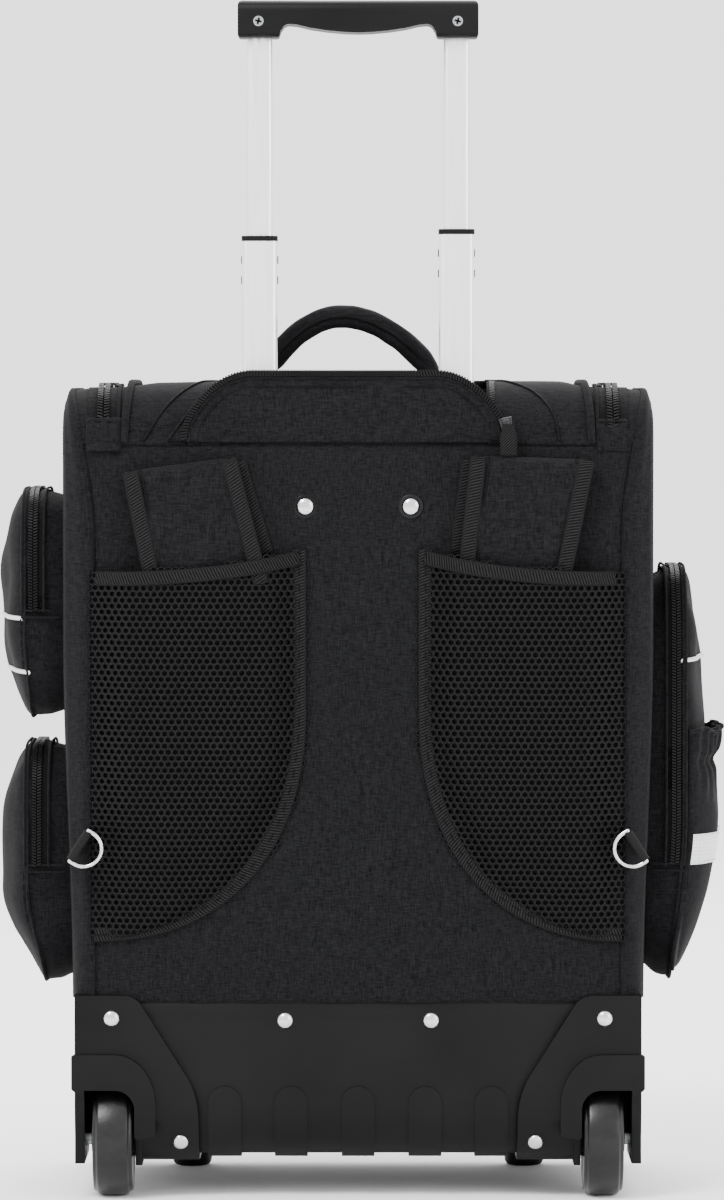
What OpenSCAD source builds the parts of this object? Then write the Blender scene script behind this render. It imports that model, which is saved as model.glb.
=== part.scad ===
// Rolling backpack: a stiffened fabric bag on a moulded wheeled base, with a three-stage
// pull handle, two shoulder straps stowed in mesh pockets, and zipped pockets on its sides.
// +Z is up, the wheels and the back panel face -Y, and the origin is on the floor under
// the middle of the bag. Millimetres.

/* [Body] */
// Width of the body at its side walls
body_w = 344; // [338:1:350]
// Width of the flat back panel
panel_w = 310; // [306:1:314]
// Depth of the main body, from the back panel to the front wall
body_d = 185; // [180:1:190]
// Height of the top of the body above the floor
body_top = 482; // [480:1:486]
// Height where the back panel ends and the rounded top begins
panel_top = 445; // [443:1:446]
// Thickness of the padded fabric walls
wall = 6; // [5:0.5:7]

/* [Base and wheels] */
// Outer width of the moulded base
base_w = 333.4; // [333:0.1:334]
// Height of the top edge of the base's rear wall
base_top = 116; // [112:1:118]
// Radius of a wheel
wheel_r = 34.5; // [33:0.5:34.5]
// Width of a wheel's tread
wheel_w = 23.5; // [20:0.5:24]
// Radius of the steel axles
axle_r = 4; // [3:0.5:4.5]

/* [Pull handle] */
// Distance from the middle of the bag to each tube
tube_x = 58; // [56:1:60]
// Width of the inner tubes; each stage outside it is 5 wider
inner_w = 15.7; // [15:0.1:16]
// Depth of the inner tubes; each stage outside it is 4.6 deeper
inner_d = 9.4; // [9.2:0.1:9.6]
// Wall of every tube
tube_wall = 1.1; // [1:0.1:1.2]
// Width of the grip
grip_w = 141.4; // [140:0.2:144]
// Height of the top of the grip above the floor
grip_top = 705; // [704:0.5:706]

/* [Soft parts] */
// Width of a shoulder strap
strap_w = 67; // [62:1:68]
// Height of the carry handle's arch above the top
carry_rise = 38; // [34:1:42]
// How far the front pocket stands out from the front wall
front_pocket_d = 49; // [47:1:51]

/* [Hidden] */
$fn = 48;

left = -1;
right = 1;
big = 1000;                       // reaches past everything, for cutting
gap = 0.3;                        // between soft pieces of different bodies

back_y = -108;
front_y = back_y + body_d;
body_half = body_w / 2;
panel_half = panel_w / 2;
corner_r = body_half - panel_half;
hem = 0.5;                        // the top's lower edge stands this far above the panels
top_low = panel_top + hem;
back_top_r = body_top - top_low;
front_top_r = 32;
lid_half = 149.5;
hinge_y = -38;                    // the lid turns here
yoke_x = 78;                      // the notch in the top that the tubes come up through
yoke_y = -66;
fabric_low = 62;                  // lower edge of the fabric walls above the base
panel_pad = 8;                    // thickness of the padded back panel

base_half = base_w / 2;
base_wall = 3;
base_low = 25;
base_bend_z = 57;                 // below this the base's rear wall curves under
base_bend_y = 20;
front_lip_z = 60;
plate_t = 4;                      // the housings' plates over the base's rear wall
well_in = 127;                    // the wheel well, from its inner cheek outwards
well_out = 161;
well_front = -45;
well_top = 72;
housing_top = 120.5;
wheel_x = 144.5;
wheel_y = -88;
arch_z = 65;
rib_x = [-78.5, -39.5, 0, 39.5, 78.5];
rib_w = 19.3;
rib_top = 66.7;
rib_h = 2;
foot_x = 102;
foot_y = 55;
floor_z = 78;
floor_t = 3;

tube_y = -84;
stage_w = 5;
stage_d = 4.6;
tube_r = 3;
mid_w = inner_w + stage_w;
mid_d = inner_d + stage_d;
outer_w = mid_w + stage_w;
outer_d = mid_d + stage_d;
slip = 0.2;                       // clearance round each sliding tube
outer_low = 36;
outer_top = 459;
outer_cap = 5;
mid_low = 241;
mid_top = 568;
mid_cap = 3;
mid_drop = 4;                     // the left middle tube stands this much lower
inner_low = 373;
inner_top = 695.7;
sleeve = 20;
lug_r = 2.3;
lug_z = [11, 23];                 // below the top of a middle tube
lug_out = 0.6;
lock_hole_r = 2.5;
lock_hole_z = [48, 112, 176];
guide_h = 12;
rod_x = 54;
rod_r = 1.5;
rod_low = 382;
screw_x = 58.5;
screw_z = 692.7;
screw_r = 1.5;
grip_d = 28;
grip_low = 683;
bracket_z = 408;
bracket_h = 20;
rivet_x = 31;
spring_low = 691;
yoke_z = 700;
yoke_t = 2.3;

mesh_out = 18;                    // the mesh pockets stand this far off the panel
mesh_wall = 3;
mesh_in = 32;
mesh_low = 153;
mesh_bend = 290;
mesh_top_in = 386;
mesh_top_out = 369;
strap_t = 14;
strap_x = 104.5;
strap_top = 433;
strap_low = 262;
strap_tilt = 8;
carry_y = -56;
carry_ends = [-63, 53];            // where the arch's middle line meets the top
carry_peak = -10;
carry_t = 13.5;
carry_d = 18;
carry_hinge_z = body_top + 9.6;
flap_t = 4;
flap_left = -104;
flap_right = 88;
flap_r = 42;                      // its corners, which are as high as the flap
ring_x = 163;
ring_z = 210;
ring_r = 10.5;
ring_leg = 3;                     // straight sides between the bar and the bow
ring_wire = 1.2;
ring_tilt = 32;                   // the bar of each D leans this far from upright
ring_y = -128;
ring_web = 17;

zip_w = 4;
zip_t = 1.5;
slider_w = 8;
slider_l = 12;
slider_t = 3.5;

// Points along an arc, as a list.
function arc(cx, cy, rx, ry, a0, a1, n = 10) =
    [for (k = [0:n]) [cx + rx * cos(a0 + (a1 - a0) * k / n), cy + ry * sin(a0 + (a1 - a0) * k / n)]];

function backwards(list) = [for (k = [len(list) - 1:-1:0]) list[k]];

// The rounded corners of the top seen from the side, as [y, z] points, taken in by i.
function rear_corner(i) = arc(back_y + back_top_r, top_low, back_top_r - i, back_top_r - i, 180, 90);
function front_corner(i) =
    arc(front_y - front_top_r, body_top - front_top_r, front_top_r - i, front_top_r - i, 90, 0);

// The body seen from the side, taken in by i.
function body_profile(i, low) = concat([[back_y + i, low]], rear_corner(i), front_corner(i), [[front_y - i, low]]);

// The body seen from above, right half, as [x, y] points, taken in by i.
function plan_half(i) = concat(
    arc(panel_half, back_y + corner_r, corner_r - i, corner_r - i, -90, 0),
    arc(panel_half, front_y - corner_r, corner_r - i, corner_r - i, 0, 90)
);

// The outside of the base seen from the side, as [y, z] points, grown by o.
function base_profile(o, top) = concat(
    [[back_y - o, top]],
    arc(back_y + base_bend_y, base_bend_z, base_bend_y + o, base_bend_z - base_low + o, 180, 270),
    [[front_y - base_wall + o, base_low - o], [front_y + o, base_low + base_wall], [front_y + o, top]]
);

// Turns a [y, z] outline into a solid from x = x0 to x1.
module along_x(x0, x1) {
    translate([x0, 0, 0]) rotate([90, 0, 90]) linear_extrude(x1 - x0) children();
}

// Turns an [x, z] outline into a solid from y = y0 to y1.
module along_y(y0, y1) {
    translate([0, y1, 0]) rotate([90, 0, 0]) linear_extrude(y1 - y0) children();
}

module box(x0, x1, y0, y1, z0, z1) {
    translate([x0, y0, z0]) cube([x1 - x0, y1 - y0, z1 - z0]);
}

module on_side(side) {
    if (side < 0) mirror([1, 0, 0]) children();
    else children();
}

module both_sides() {
    for (side = [left, right]) on_side(side) children();
}

module rounded(w, d, r) {
    square([w - 2 * r, d], center = true);
    square([w, d - 2 * r], center = true);
    for (x = [-1, 1], y = [-1, 1]) translate([x * (w / 2 - r), y * (d / 2 - r)]) circle(r);
}

// ---- base and wheels ----

module rib_outline(x) {
    translate([x - rib_w / 2, 0]) square([rib_w, rib_top - rib_w / 2]);
    translate([x, rib_top - rib_w / 2]) circle(rib_w / 2);
}

module base_skin(x0, x1, o, t, top) {
    along_x(x0, x1) difference() {
        polygon(base_profile(o, top));
        polygon(base_profile(o - t, top + 1));
    }
}

module base_tray() {
    color("#1c1c1d") difference() {
        union() {
            intersection() {
                base_skin(-base_half, base_half, 0, base_wall, base_top);
                along_x(-base_half, base_half) polygon([
                    [back_y - 1, 0], [front_y + 1, 0], [front_y + 1, front_lip_z],
                    [back_y + base_wall, front_lip_z], [back_y + base_wall, base_top],
                    [back_y - 1, base_top]
                ]);
            }
            both_sides() box(base_half - base_wall, base_half, well_front, front_y - base_wall,
                base_low + 1, front_lip_z);
            for (x = rib_x) intersection() {
                base_skin(x - rib_w / 2, x + rib_w / 2, rib_h, rib_h, base_top);
                along_y(back_y - big, foot_y) rib_outline(x);
            }
        }
        both_sides() box(well_in, big, -big, well_front, 0, well_top + 4);
        both_sides() box(163, big, -big, well_front, 0, big);
        both_sides() rivet_hole(43, back_y, 105.5, 0);
        both_sides() rivet_hole(145, back_y, 107, 0);
        both_sides() rivet_hole(104.6, -106.2, 33.5, 30);
    }
}

// The rear outline of the right housing: a plate whose inner edge sweeps down and out.
housing_outline = concat(
    [[base_half, 20], [base_half, housing_top]],
    arc(138.4, housing_top - 14, 14, 14, 90, 135, 4),
    arc(134, 47, 40, 46, 141, 180, 8),
    [[93.6, 20]]
);

module wheel_opening(low) {
    translate([131.5, low]) square([well_out - 131.5, arch_z - 11.5 - low]);
    translate([143, 50]) square([well_out - 143, arch_z - 50]);
    translate([143, arch_z - 11.5]) circle(11.5);
}

module arch_moulding() {
    difference() {
        polygon(concat(
            [[base_half + 1.8, arch_z + 1], [base_half + 1.8, 85], [base_half, 86]],
            arc(143, 56, 24, 30, 90, 180, 8),
            [[119, 38], [130, 36], [base_half - 20, 50], [base_half + 1, arch_z]]
        ));
        wheel_opening(0);
    }
}

module wheel_housing(side) {
    color("#1a1a1b") on_side(side) difference() {
        union() {
            intersection() {
                base_skin(90, base_half, plate_t, plate_t, housing_top);
                along_y(-big, -60) difference() {
                    polygon(housing_outline);
                    wheel_opening(0);
                }
            }
            along_y(back_y - plate_t - 5, back_y - plate_t + 1) arch_moulding();
            box(well_out, base_half, back_y, well_front, 21, well_top);
            box(163.3, base_half, back_y, well_front, well_top, housing_top);
            box(well_in, well_in + 4, back_y, well_front, 20, well_top);
            box(well_in, 163.3, back_y, well_front, well_top, well_top + 3.5);
            box(well_in, well_out, well_front - 3, well_front, base_low, well_top);
        }
        translate([well_in - 1, wheel_y, wheel_r]) rotate([0, 90, 0]) cylinder(r = axle_r, h = 37);
        box(base_half - 12, well_out, -big, -110, 0, arch_z - 1);
        rivet_hole(145, back_y, 107, 0);
        rivet_hole(104.6, -106.2, 33.5, 30);
    }
}

module tyre(side) {
    crown = 2.2;
    color("#141415") translate([side * wheel_x, wheel_y, wheel_r]) rotate([0, 90, 0])
        rotate_extrude($fn = 96) polygon(concat(
            [[22, -wheel_w / 2 + 2]],
            [[wheel_r - 5, -wheel_w / 2 + 0.6]],
            arc(wheel_r - crown - 2, -wheel_w / 2 + 3, 2, 3, -90, -20, 4),
            arc(0, 0, wheel_r, wheel_w / 2 + 30, -12, 12, 8),
            arc(wheel_r - crown - 2, wheel_w / 2 - 3, 2, 3, 20, 90, 4),
            [[wheel_r - 5, wheel_w / 2 - 0.6]],
            [[22, wheel_w / 2 - 2]]
        ));
}

module hub(side) {
    color("#3a3a3c") translate([side * wheel_x, wheel_y, wheel_r]) rotate([0, 90, 0])
        rotate_extrude($fn = 96) polygon([
            [axle_r + 0.05, -13], [9, -13], [9, -9], [17, -8], [18, -9.6], [22, -9.6],
            [22, 9.6], [18, 9.6], [17, 8], [9, 9], [9, 13], [axle_r + 0.05, 13]
        ]);
}

// The axle, pressed into both cheeks.
module axle(side) {
    color("#b9bbbd") translate([side * wheel_x, wheel_y, wheel_r]) rotate([0, 90, 0])
        cylinder(r = axle_r, h = 35, center = true);
}

module rivet_hole(x, y, z, tilt) {
    translate([x, y, z]) rotate([90 + tilt, 0, 0]) cylinder(r = 2, h = 30, center = true);
}

module rivet(x, y, z, tilt, r, long) {
    translate([x, y, z]) rotate([90 + tilt, 0, 0]) {
        rotate_extrude() polygon(concat([[0, 0]], arc(0, 0, r, 2.4, 0, 90, 6)));
        translate([0, 0, -long]) cylinder(r = 2, h = long);
        translate([0, 0, -long - 1.2]) cylinder(r = 4, h = 1.2);
    }
}

module rivets() {
    color("#c8c9ca") {
        both_sides() rivet(43, back_y, 105.5, 0, 4.8, base_wall);
        both_sides() rivet(145, back_y - plate_t, 107, 0, 4.8, base_wall + plate_t);
        both_sides() rivet(104.6, -106.2, 33.5, 30, 4.8, 7.6);
        both_sides() rivet(rivet_x, back_y, bracket_z, 0, 5.3, 20);
    }
}

module front_feet() {
    color("#111112") both_sides() translate([foot_x, foot_y, 0]) rotate_extrude()
        polygon(concat([[0, 0], [9, 0]], arc(9, 4, 3, 4, -90, 0, 5), [[13, base_low], [0, base_low]]));
}

module floor_board() {
    color("#3b3733")
        box(-panel_half, panel_half, tube_y + 14.3, front_y - wall - 1, floor_z, floor_z + floor_t);
}

// ---- pull handle ----

module tube(w, d, low, high) {
    translate([0, 0, low]) linear_extrude(high - low) difference() {
        rounded(w, d, tube_r);
        rounded(w - 2 * tube_wall, d - 2 * tube_wall, tube_r - tube_wall);
    }
}

module at_tube(side) {
    translate([side * tube_x, tube_y, 0]) children();
}

module at_tubes() {
    for (side = [left, right]) at_tube(side) children();
}

module lower_bracket() {
    color("#2a2a2b") difference() {
        along_x(-82, 82) polygon([
            [tube_y - 14, base_low + 9.2], [tube_y - 4, base_low + base_wall],
            [tube_y + 14, base_low + base_wall], [tube_y + 14, 50], [tube_y - 14, 50]
        ]);
        at_tubes() translate([0, 0, outer_low]) linear_extrude(big) rounded(outer_w, outer_d, tube_r);
        box(-36, 36, tube_y - 8, tube_y + 8, 36, big);
    }
}

module upper_bracket() {
    color("#2a2a2b") difference() {
        box(-78, 78, back_y + panel_pad, tube_y + 13, bracket_z - bracket_h / 2, bracket_z + bracket_h / 2);
        at_tubes() translate([0, 0, 300]) linear_extrude(200) rounded(outer_w, outer_d, tube_r);
        box(-22, 22, back_y + 12, big, 0, big);
        both_sides() rivet_hole(rivet_x, back_y + 15, bracket_z, 0);
        both_sides() box(rivet_x - 6, rivet_x + 6, back_y + 20, big, 0, big);
    }
}

module outer_tube(side) {
    color("#b4b6b8") at_tube(side) tube(outer_w, outer_d, outer_low, outer_top);
}

module outer_collars() {
    color("#161617") at_tubes() difference() {
        union() {
            translate([0, 0, outer_top]) linear_extrude(outer_cap) rounded(outer_w + 1, outer_d + 1, tube_r);
            translate([0, 0, outer_top - sleeve]) linear_extrude(sleeve + 1)
                rounded(outer_w - 2 * tube_wall, outer_d - 2 * tube_wall, tube_r - tube_wall);
        }
        translate([0, 0, outer_top - sleeve - 1]) linear_extrude(big)
            rounded(mid_w + 2 * slip, mid_d + 2 * slip, tube_r);
        translate([0, 0, outer_top]) cube([mid_w + 2 * lug_out + 0.8, 2 * lug_r + 0.8, big], center = true);
    }
}

function mid_shift(side) = side < 0 ? -mid_drop : 0;

module mid_tube(side) {
    color("#d9dadb") at_tube(side) translate([0, 0, mid_shift(side)]) difference() {
        tube(mid_w, mid_d, mid_low, mid_top);
        for (z = lug_z) translate([0, 0, mid_top - z]) rotate([0, 90, 0])
            cylinder(r = lug_r, h = big, center = true);
        for (z = lock_hole_z) translate([0, 0, mid_top - z]) rotate([0, -90 * side, 0])
            cylinder(r = lock_hole_r, h = mid_w);
    }
}

module mid_collars() {
    inside_w = mid_w - 2 * tube_wall;
    inside_d = mid_d - 2 * tube_wall;
    color("#161617") for (side = [left, right]) at_tube(side) translate([0, 0, mid_shift(side)])
        difference() {
            union() {
                translate([0, 0, mid_top]) linear_extrude(mid_cap) rounded(mid_w + 0.6, mid_d + 0.6, tube_r);
                translate([0, 0, mid_top - sleeve - 10]) linear_extrude(sleeve + 11)
                    rounded(inside_w, inside_d, tube_r - tube_wall);
                for (z = lug_z) translate([0, 0, mid_top - z]) rotate([0, 90, 0])
                    cylinder(r = lug_r, h = mid_w + 2 * lug_out, center = true);
            }
            translate([0, 0, mid_top - big / 2]) linear_extrude(big)
                rounded(inner_w + 2 * slip, inner_d + 2 * slip, tube_r);
        }
}

// A plug below the end of a tube that slides in the next one, with a stub up inside it.
module guide(w, d, low, stub, bore_x) {
    difference() {
        union() {
            translate([0, 0, low - guide_h]) linear_extrude(guide_h)
                rounded(w + stage_w - 2 * tube_wall - 2 * slip, d + stage_d - 2 * tube_wall - 2 * slip, 2);
            translate([0, 0, low - 1]) linear_extrude(stub + 1)
                rounded(w - 2 * tube_wall, d - 2 * tube_wall, tube_r - tube_wall);
        }
        if (bore_x != 0) translate([bore_x, 0, low - 4]) cylinder(r = rod_r + 0.15, h = big);
    }
}

module mid_guides() {
    color("#161617") for (side = [left, right]) at_tube(side)
        translate([0, 0, mid_shift(side)]) guide(mid_w, mid_d, mid_low, 6, 0);
}

module inner_tube(side) {
    color("#cfd0d2") at_tube(side) difference() {
        tube(inner_w, inner_d, inner_low, inner_top);
        translate([side * (screw_x - tube_x), 0, screw_z]) rotate([90, 0, 0])
            cylinder(r = screw_r, h = big, center = true);
    }
}

module inner_guides() {
    color("#161617") for (side = [left, right]) at_tube(side)
        guide(inner_w, inner_d, inner_low, 15, side * (rod_x - tube_x));
}

// Grip seen from behind: deep ends over the tubes and a bar that swells in the middle.
grip_half = concat(
    [[0, grip_top]], arc(grip_w / 2 - 3, grip_top - 3, 3, 3, 90, 0, 4),
    arc(grip_w / 2 - 2, grip_low + 2, 2, 2, 0, -90, 3),
    arc(48, grip_low + 2, 2, 2, -90, -180, 3),
    [[45.5, 687]], arc(40.5, 686.5, 4.5, 4.5, 20, 90, 4),
    [[36, 690.6], [28, 688.7], [18, 687.2], [8, 686.3], [0, 686]]
);
grip_outline = concat(grip_half, [for (k = [len(grip_half) - 2:-1:1]) [-grip_half[k][0], grip_half[k][1]]]);

module grip_solid() {
    intersection() {
        along_y(tube_y - grip_d / 2, tube_y + grip_d / 2) polygon(grip_outline);
        along_x(-grip_w, grip_w) translate([tube_y, (grip_top + grip_low) / 2])
            rounded(grip_d, grip_top - grip_low, 6);
    }
}

module grip_cavity() {
    at_tubes() translate([0, 0, grip_low - 1]) linear_extrude(inner_top - grip_low + 1)
        rounded(inner_w, inner_d, tube_r);
    box(-rod_x - 2.3, rod_x + 2.3, tube_y - 3, tube_y + 3, inner_top, yoke_z + yoke_t + 0.2);
    box(-17, 17, tube_y - 7, tube_y + 7, spring_low, yoke_z + yoke_t + 0.2);
    box(-14.4, 14.4, tube_y - 6.9, tube_y + 6.9, yoke_z, big);
    both_sides() translate([screw_x, tube_y + 8, screw_z]) rotate([90, 0, 0]) cylinder(r = screw_r, h = 40);
    both_sides() translate([screw_x, tube_y - grip_d / 2 + 2, screw_z]) rotate([90, 0, 0])
        cylinder(r = 3, h = 40);
}

module grip_shell(sign) {
    color("#171718") difference() {
        intersection() {
            grip_solid();
            if (sign < 0) box(-big, big, -big, tube_y, 0, big);
            else box(-big, big, tube_y, big, 0, big);
        }
        grip_cavity();
    }
}

module grip_screws() {
    color("#8d8f91") both_sides() translate([screw_x, tube_y, screw_z]) rotate([90, 0, 0]) {
        translate([0, 0, -8]) cylinder(r = screw_r, h = 21);
        translate([0, 0, grip_d / 2 - 2]) difference() {
            cylinder(r = 3, h = 1.8);
            for (a = [0, 90]) rotate([0, 0, a]) translate([-2.1, -0.4, 0.6]) cube([4.2, 0.8, 3]);
        }
    }
}

module release_button() {
    color("#202022") union() {
        translate([0, tube_y, yoke_z + yoke_t]) linear_extrude(grip_top - 0.3 - yoke_z - yoke_t)
            rounded(28, 13, 3);
    }
}

// The cross-bar under the button and the two rods that run down inside the inner tubes.
module release_rods() {
    color("#9a9c9e") {
        box(-rod_x - 2, rod_x + 2, tube_y - 2.6, tube_y + 2.6, yoke_z, yoke_z + yoke_t);
        both_sides() translate([rod_x, tube_y, rod_low]) cylinder(r = rod_r, h = yoke_z - rod_low + 1);
    }
}

// A helical compression spring: rings of points joined into a tube.
function coil_point(t, r, low, high, turns) =
    [r * cos(360 * turns * t), r * sin(360 * turns * t), low + (high - low) * t];

module coil_spring(r, wire, low, high, turns, steps = 14, sides = 6) {
    n = turns * steps;
    points = [for (k = [0:n], s = [0:sides - 1])
        let (a = 360 * k / steps, c = coil_point(k / n, r, low + wire, high - wire, turns), b = 360 * s / sides)
        [c[0] + wire * cos(b) * cos(a), c[1] + wire * cos(b) * sin(a), c[2] + wire * sin(b)]];
    skin = [for (k = [0:n - 1], s = [0:sides - 1])
        let (t = (s + 1) % sides)
        [k * sides + s, k * sides + t, (k + 1) * sides + t, (k + 1) * sides + s]];
    polyhedron(points, concat(skin, [[for (s = [sides - 1:-1:0]) s]], [[for (s = [0:sides - 1]) n * sides + s]]));
}

module button_spring() {
    color("#b9bbbd") translate([0, tube_y, 0]) coil_spring(3.6, 0.55, spring_low, yoke_z, 5);
}

// ---- soft body ----

module back_panel() {
    color("#1d1e20") difference() {
        box(-panel_half, panel_half, back_y, back_y + panel_pad, base_top, panel_top);
        both_sides() rivet_hole(rivet_x, back_y, bracket_z, 0);
    }
}

// The lining that keeps the load off the tubes.
module handle_liner() {
    color("#26272a") box(-panel_half + 3, panel_half - 3, tube_y + 14, tube_y + 16, floor_z + floor_t, 462);
}

// One side of the shell: its plan and its profile crossed, then hollowed.
module side_solid(i, low) {
    intersection() {
        translate([0, 0, low]) linear_extrude(big) polygon(concat([[0, back_y + i]], plan_half(i), [[0, front_y - i]]));
        along_x(0, body_half - i) polygon(body_profile(i, low));
    }
}

module side_wall(side) {
    color("#1b1c1e") on_side(side) difference() {
        side_solid(0, fabric_low);
        side_solid(wall, fabric_low - 1);
        box(-1, lid_half + gap, -big, big, 0, big);
        box(-1, panel_half, -big, big, 0, top_low);
        box(-1, big, -big, well_front, 0, housing_top + 0.5);
    }
}

module front_wall() {
    color("#1b1c1e") box(-panel_half, panel_half, front_y - wall, front_y, front_lip_z + 2, panel_top);
}

// The fixed rear strip of the top seen from the side, taken in by i.
function yoke_line(i) = concat(rear_corner(i), [[hinge_y - gap, body_top - i]]);

module top_yoke() {
    color("#1d1e20") {
        box(-yoke_x - 1, yoke_x + 1, yoke_y, hinge_y - gap, body_top - wall, body_top);
        both_sides() along_x(yoke_x, lid_half) polygon(concat(yoke_line(0), backwards(yoke_line(wall))));
    }
}

// The lid seen from the side, taken in by i.
function lid_line(i) = concat([[hinge_y, body_top - i]], front_corner(i), [[front_y - i, top_low]]);

module top_lid() {
    color("#1d1e20") along_x(-lid_half, lid_half) polygon(concat(lid_line(0), backwards(lid_line(wall))));
}

flap_outline = concat(
    arc(flap_left + flap_r, panel_top + 1, flap_r, flap_r, 180, 90),
    arc(flap_right - flap_r, panel_top + 1, flap_r, flap_r, 90, 0)
);

module handle_flap() {
    color("#1d1e20") along_y(back_y - gap - flap_t, back_y - gap) polygon(flap_outline);
}

// The carry handle's centre line is half a parabola each side of its peak.
function carry_z(x) = let (u = (x - carry_peak) / (carry_ends[x < carry_peak ? 0 : 1] - carry_peak))
    body_top + carry_rise * (1 - u * u);

function carry_line(o) = [for (k = [0:20])
    let (x = carry_ends[0] + (carry_ends[1] - carry_ends[0]) * k / 20, s = (carry_z(x + 0.5) - carry_z(x - 0.5)), n = sqrt(1 + s * s))
    [x - o * s / n, carry_z(x) + o / n]];

module carry_handle() {
    outer = carry_line(carry_t / 2);
    inner = carry_line(-carry_t / 2);
    color("#1a1a1c") intersection() {
        along_y(carry_y - carry_d / 2, carry_y + carry_d / 2)
            polygon(concat(outer, backwards(inner)));
        union() {
            box(-big, big, -big, big, carry_hinge_z, big);
            along_x(-big, big) translate([carry_y, carry_hinge_z]) circle(carry_d / 2);
        }
    }
}

// ---- pockets, straps and rings ----

// A pocket on a side wall: a bulged outline seen from behind, with round corners seen from the side.
function bulge(depth, z0, z1, power, n = 16) = [for (k = [0:n])
    let (t = 180 * k / n, u = cos(t), v = sin(t))
    [body_half + 0.2 + depth * pow(v, 2 / power), (z0 + z1) / 2 + (z1 - z0) / 2 * sign(u) * pow(abs(u), 2 / power)]];

module side_pocket(side, depth, y0, y1, z0, z1) {
    color("#1c1d1f") on_side(side) intersection() {
        along_y(y0, y1) polygon(bulge(depth, z0, z1, 3.2));
        along_x(0, big) translate([(y0 + y1) / 2, (z0 + z1) / 2]) rounded(y1 - y0, z1 - z0, 22);
    }
}

pocket_y0 = -80;
pocket_y1 = 46;
upper_z = [282, 416];
lower_z = [124, 264];
right_z = [126, 369];
left_depth = 41;
right_depth = 35;

pouch_y0 = pocket_y0 + 30;
pouch_y1 = pocket_y1 - 22;
pouch_out = 10.2;                 // the bottle pouch stands this far off the pocket
pouch_top = 277;
pouch_cloth = 2.5;

module bottle_pouch() {
    color("#1c1d1f") difference() {
        intersection() {
            along_y(pouch_y0, pouch_y1) difference() {
                polygon(bulge(right_depth + pouch_out, right_z[0] + 3, 282, 4));
                polygon(bulge(right_depth + 0.1, right_z[0], right_z[1], 3.2));
            }
            box(body_half + right_depth - 14, big, -big, big, right_z[0] + 4, pouch_top);
        }
        box(body_half, body_half + right_depth + pouch_out - pouch_cloth, pouch_y0 + pouch_cloth,
            pouch_y1 - pouch_cloth, right_z[0] + 30, big);
    }
}

module front_pocket() {
    color("#1c1d1f") intersection() {
        along_x(-140, 140) translate([front_y - 60, (125 + 405) / 2]) rounded(2 * (60 + front_pocket_d), 280, 22);
        along_y(front_y + 0.2, big) translate([0, (125 + 405) / 2]) rounded(280, 280, 30);
    }
}

// A mesh pocket's outline on the right side, as [x, z] points, taken in by i.
function mesh_outline(i, top) = concat(
    [[panel_half - i, mesh_low + i]],
    arc(panel_half - i, mesh_bend, panel_half - mesh_in - 2 * i, mesh_bend - mesh_low - i, 270, 180, 12),
    [[mesh_in + i, mesh_top_in + top], [panel_half - i, mesh_top_out + top]]
);

module mesh_pocket(side) {
    color("#18191a") on_side(side) difference() {
        along_y(back_y - mesh_out, back_y - 0.1) polygon(mesh_outline(0, 0));
        along_y(back_y - mesh_out + mesh_wall, back_y + 1) polygon(mesh_outline(mesh_wall, 20));
    }
}

module shoulder_strap(side) {
    color("#1e1f21") on_side(side) translate([strap_x, 0, strap_top]) rotate([0, strap_tilt, 0])
        along_y(back_y - 0.4 - strap_t, back_y - 0.4)
        translate([0, (strap_low - strap_top) / 2]) rounded(strap_w, strap_top - strap_low, 6);
}

// A D: a straight bar, two short legs and a bow, all of one round wire, about the middle of its bar.
module d_shape() {
    translate([0, 0, ring_leg]) rotate([90, 0, 0]) rotate_extrude(angle = 180) translate([ring_r, 0])
        circle(ring_wire);
    translate([-ring_r, 0, 0]) rotate([0, 90, 0]) cylinder(r = ring_wire, h = 2 * ring_r);
    for (s = [-1, 1]) translate([s * ring_r, 0, 0]) {
        sphere(ring_wire);
        cylinder(r = ring_wire, h = ring_leg);
    }
}

module at_ring() {
    translate([ring_x, ring_y, ring_z]) rotate([0, -90 - ring_tilt, 0]) children();
}

module d_ring(side) {
    color("#c9cacb") on_side(side) at_ring() d_shape();
}

// A folded web tab sewn to the seam, whose eye holds the bar of the D.
module ring_loops() {
    color("#19191b") both_sides() difference() {
        at_ring() {
            rotate([0, 90, 0]) cylinder(r = ring_wire + 1.6, h = ring_web, center = true);
            translate([-ring_web / 2, 0, -ring_wire - 1.6]) cube([ring_web, 30, 2.6]);
        }
        at_ring() rotate([0, 90, 0]) cylinder(r = ring_wire + 0.05, h = 40, center = true);
        linear_extrude(big) polygon(concat([[0, back_y]], plan_half(-0.1), [[0, front_y]]));
    }
}

// ---- zips ----

module pocket_zip(side, depth, z0, z1) {
    x = body_half + depth / 2 + 1;
    for (y = [pocket_y0 - zip_t, pocket_y1]) on_side(side) box(x, x + zip_w, y, y + zip_t, z0, z1);
}

// The zip over the top seen from the side, taken in by i.
function zip_line(i) = concat(rear_corner(i), front_corner(i), [[front_y - i, top_low]]);

module zips() {
    color("#0f0f10") {
        both_sides() along_x(lid_half + gap, lid_half + gap + zip_w)
            polygon(concat(zip_line(-zip_t), backwards(zip_line(0))));
        box(-lid_half, lid_half, front_y, front_y + zip_t, panel_top - zip_w - 1, panel_top - 1);
        pocket_zip(left, left_depth, upper_z[0] + 63, upper_z[1] - 24);
        pocket_zip(left, left_depth, lower_z[0] + 65, lower_z[1] - 24);
        pocket_zip(right, right_depth, right_z[0] + 68, right_z[1] - 24);
        box(-100, 100, front_y + front_pocket_d, front_y + front_pocket_d + 0.1, 371, 375);
    }
}

// A slider and its tab, lying on a face that looks along -Y, with the tab hanging down.
module slider(tab) {
    box(-slider_w / 2, slider_w / 2, -slider_t, 0, -slider_l / 2, slider_l / 2);
    if (tab) box(-3, 3, -slider_t - 2, -slider_t - 0.2, -24, 2);
}

module front_slider(x, y, z) {
    color("#2d2d2f") translate([x, y + gap, z]) rotate([0, 0, 180]) slider(true);
}

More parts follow.
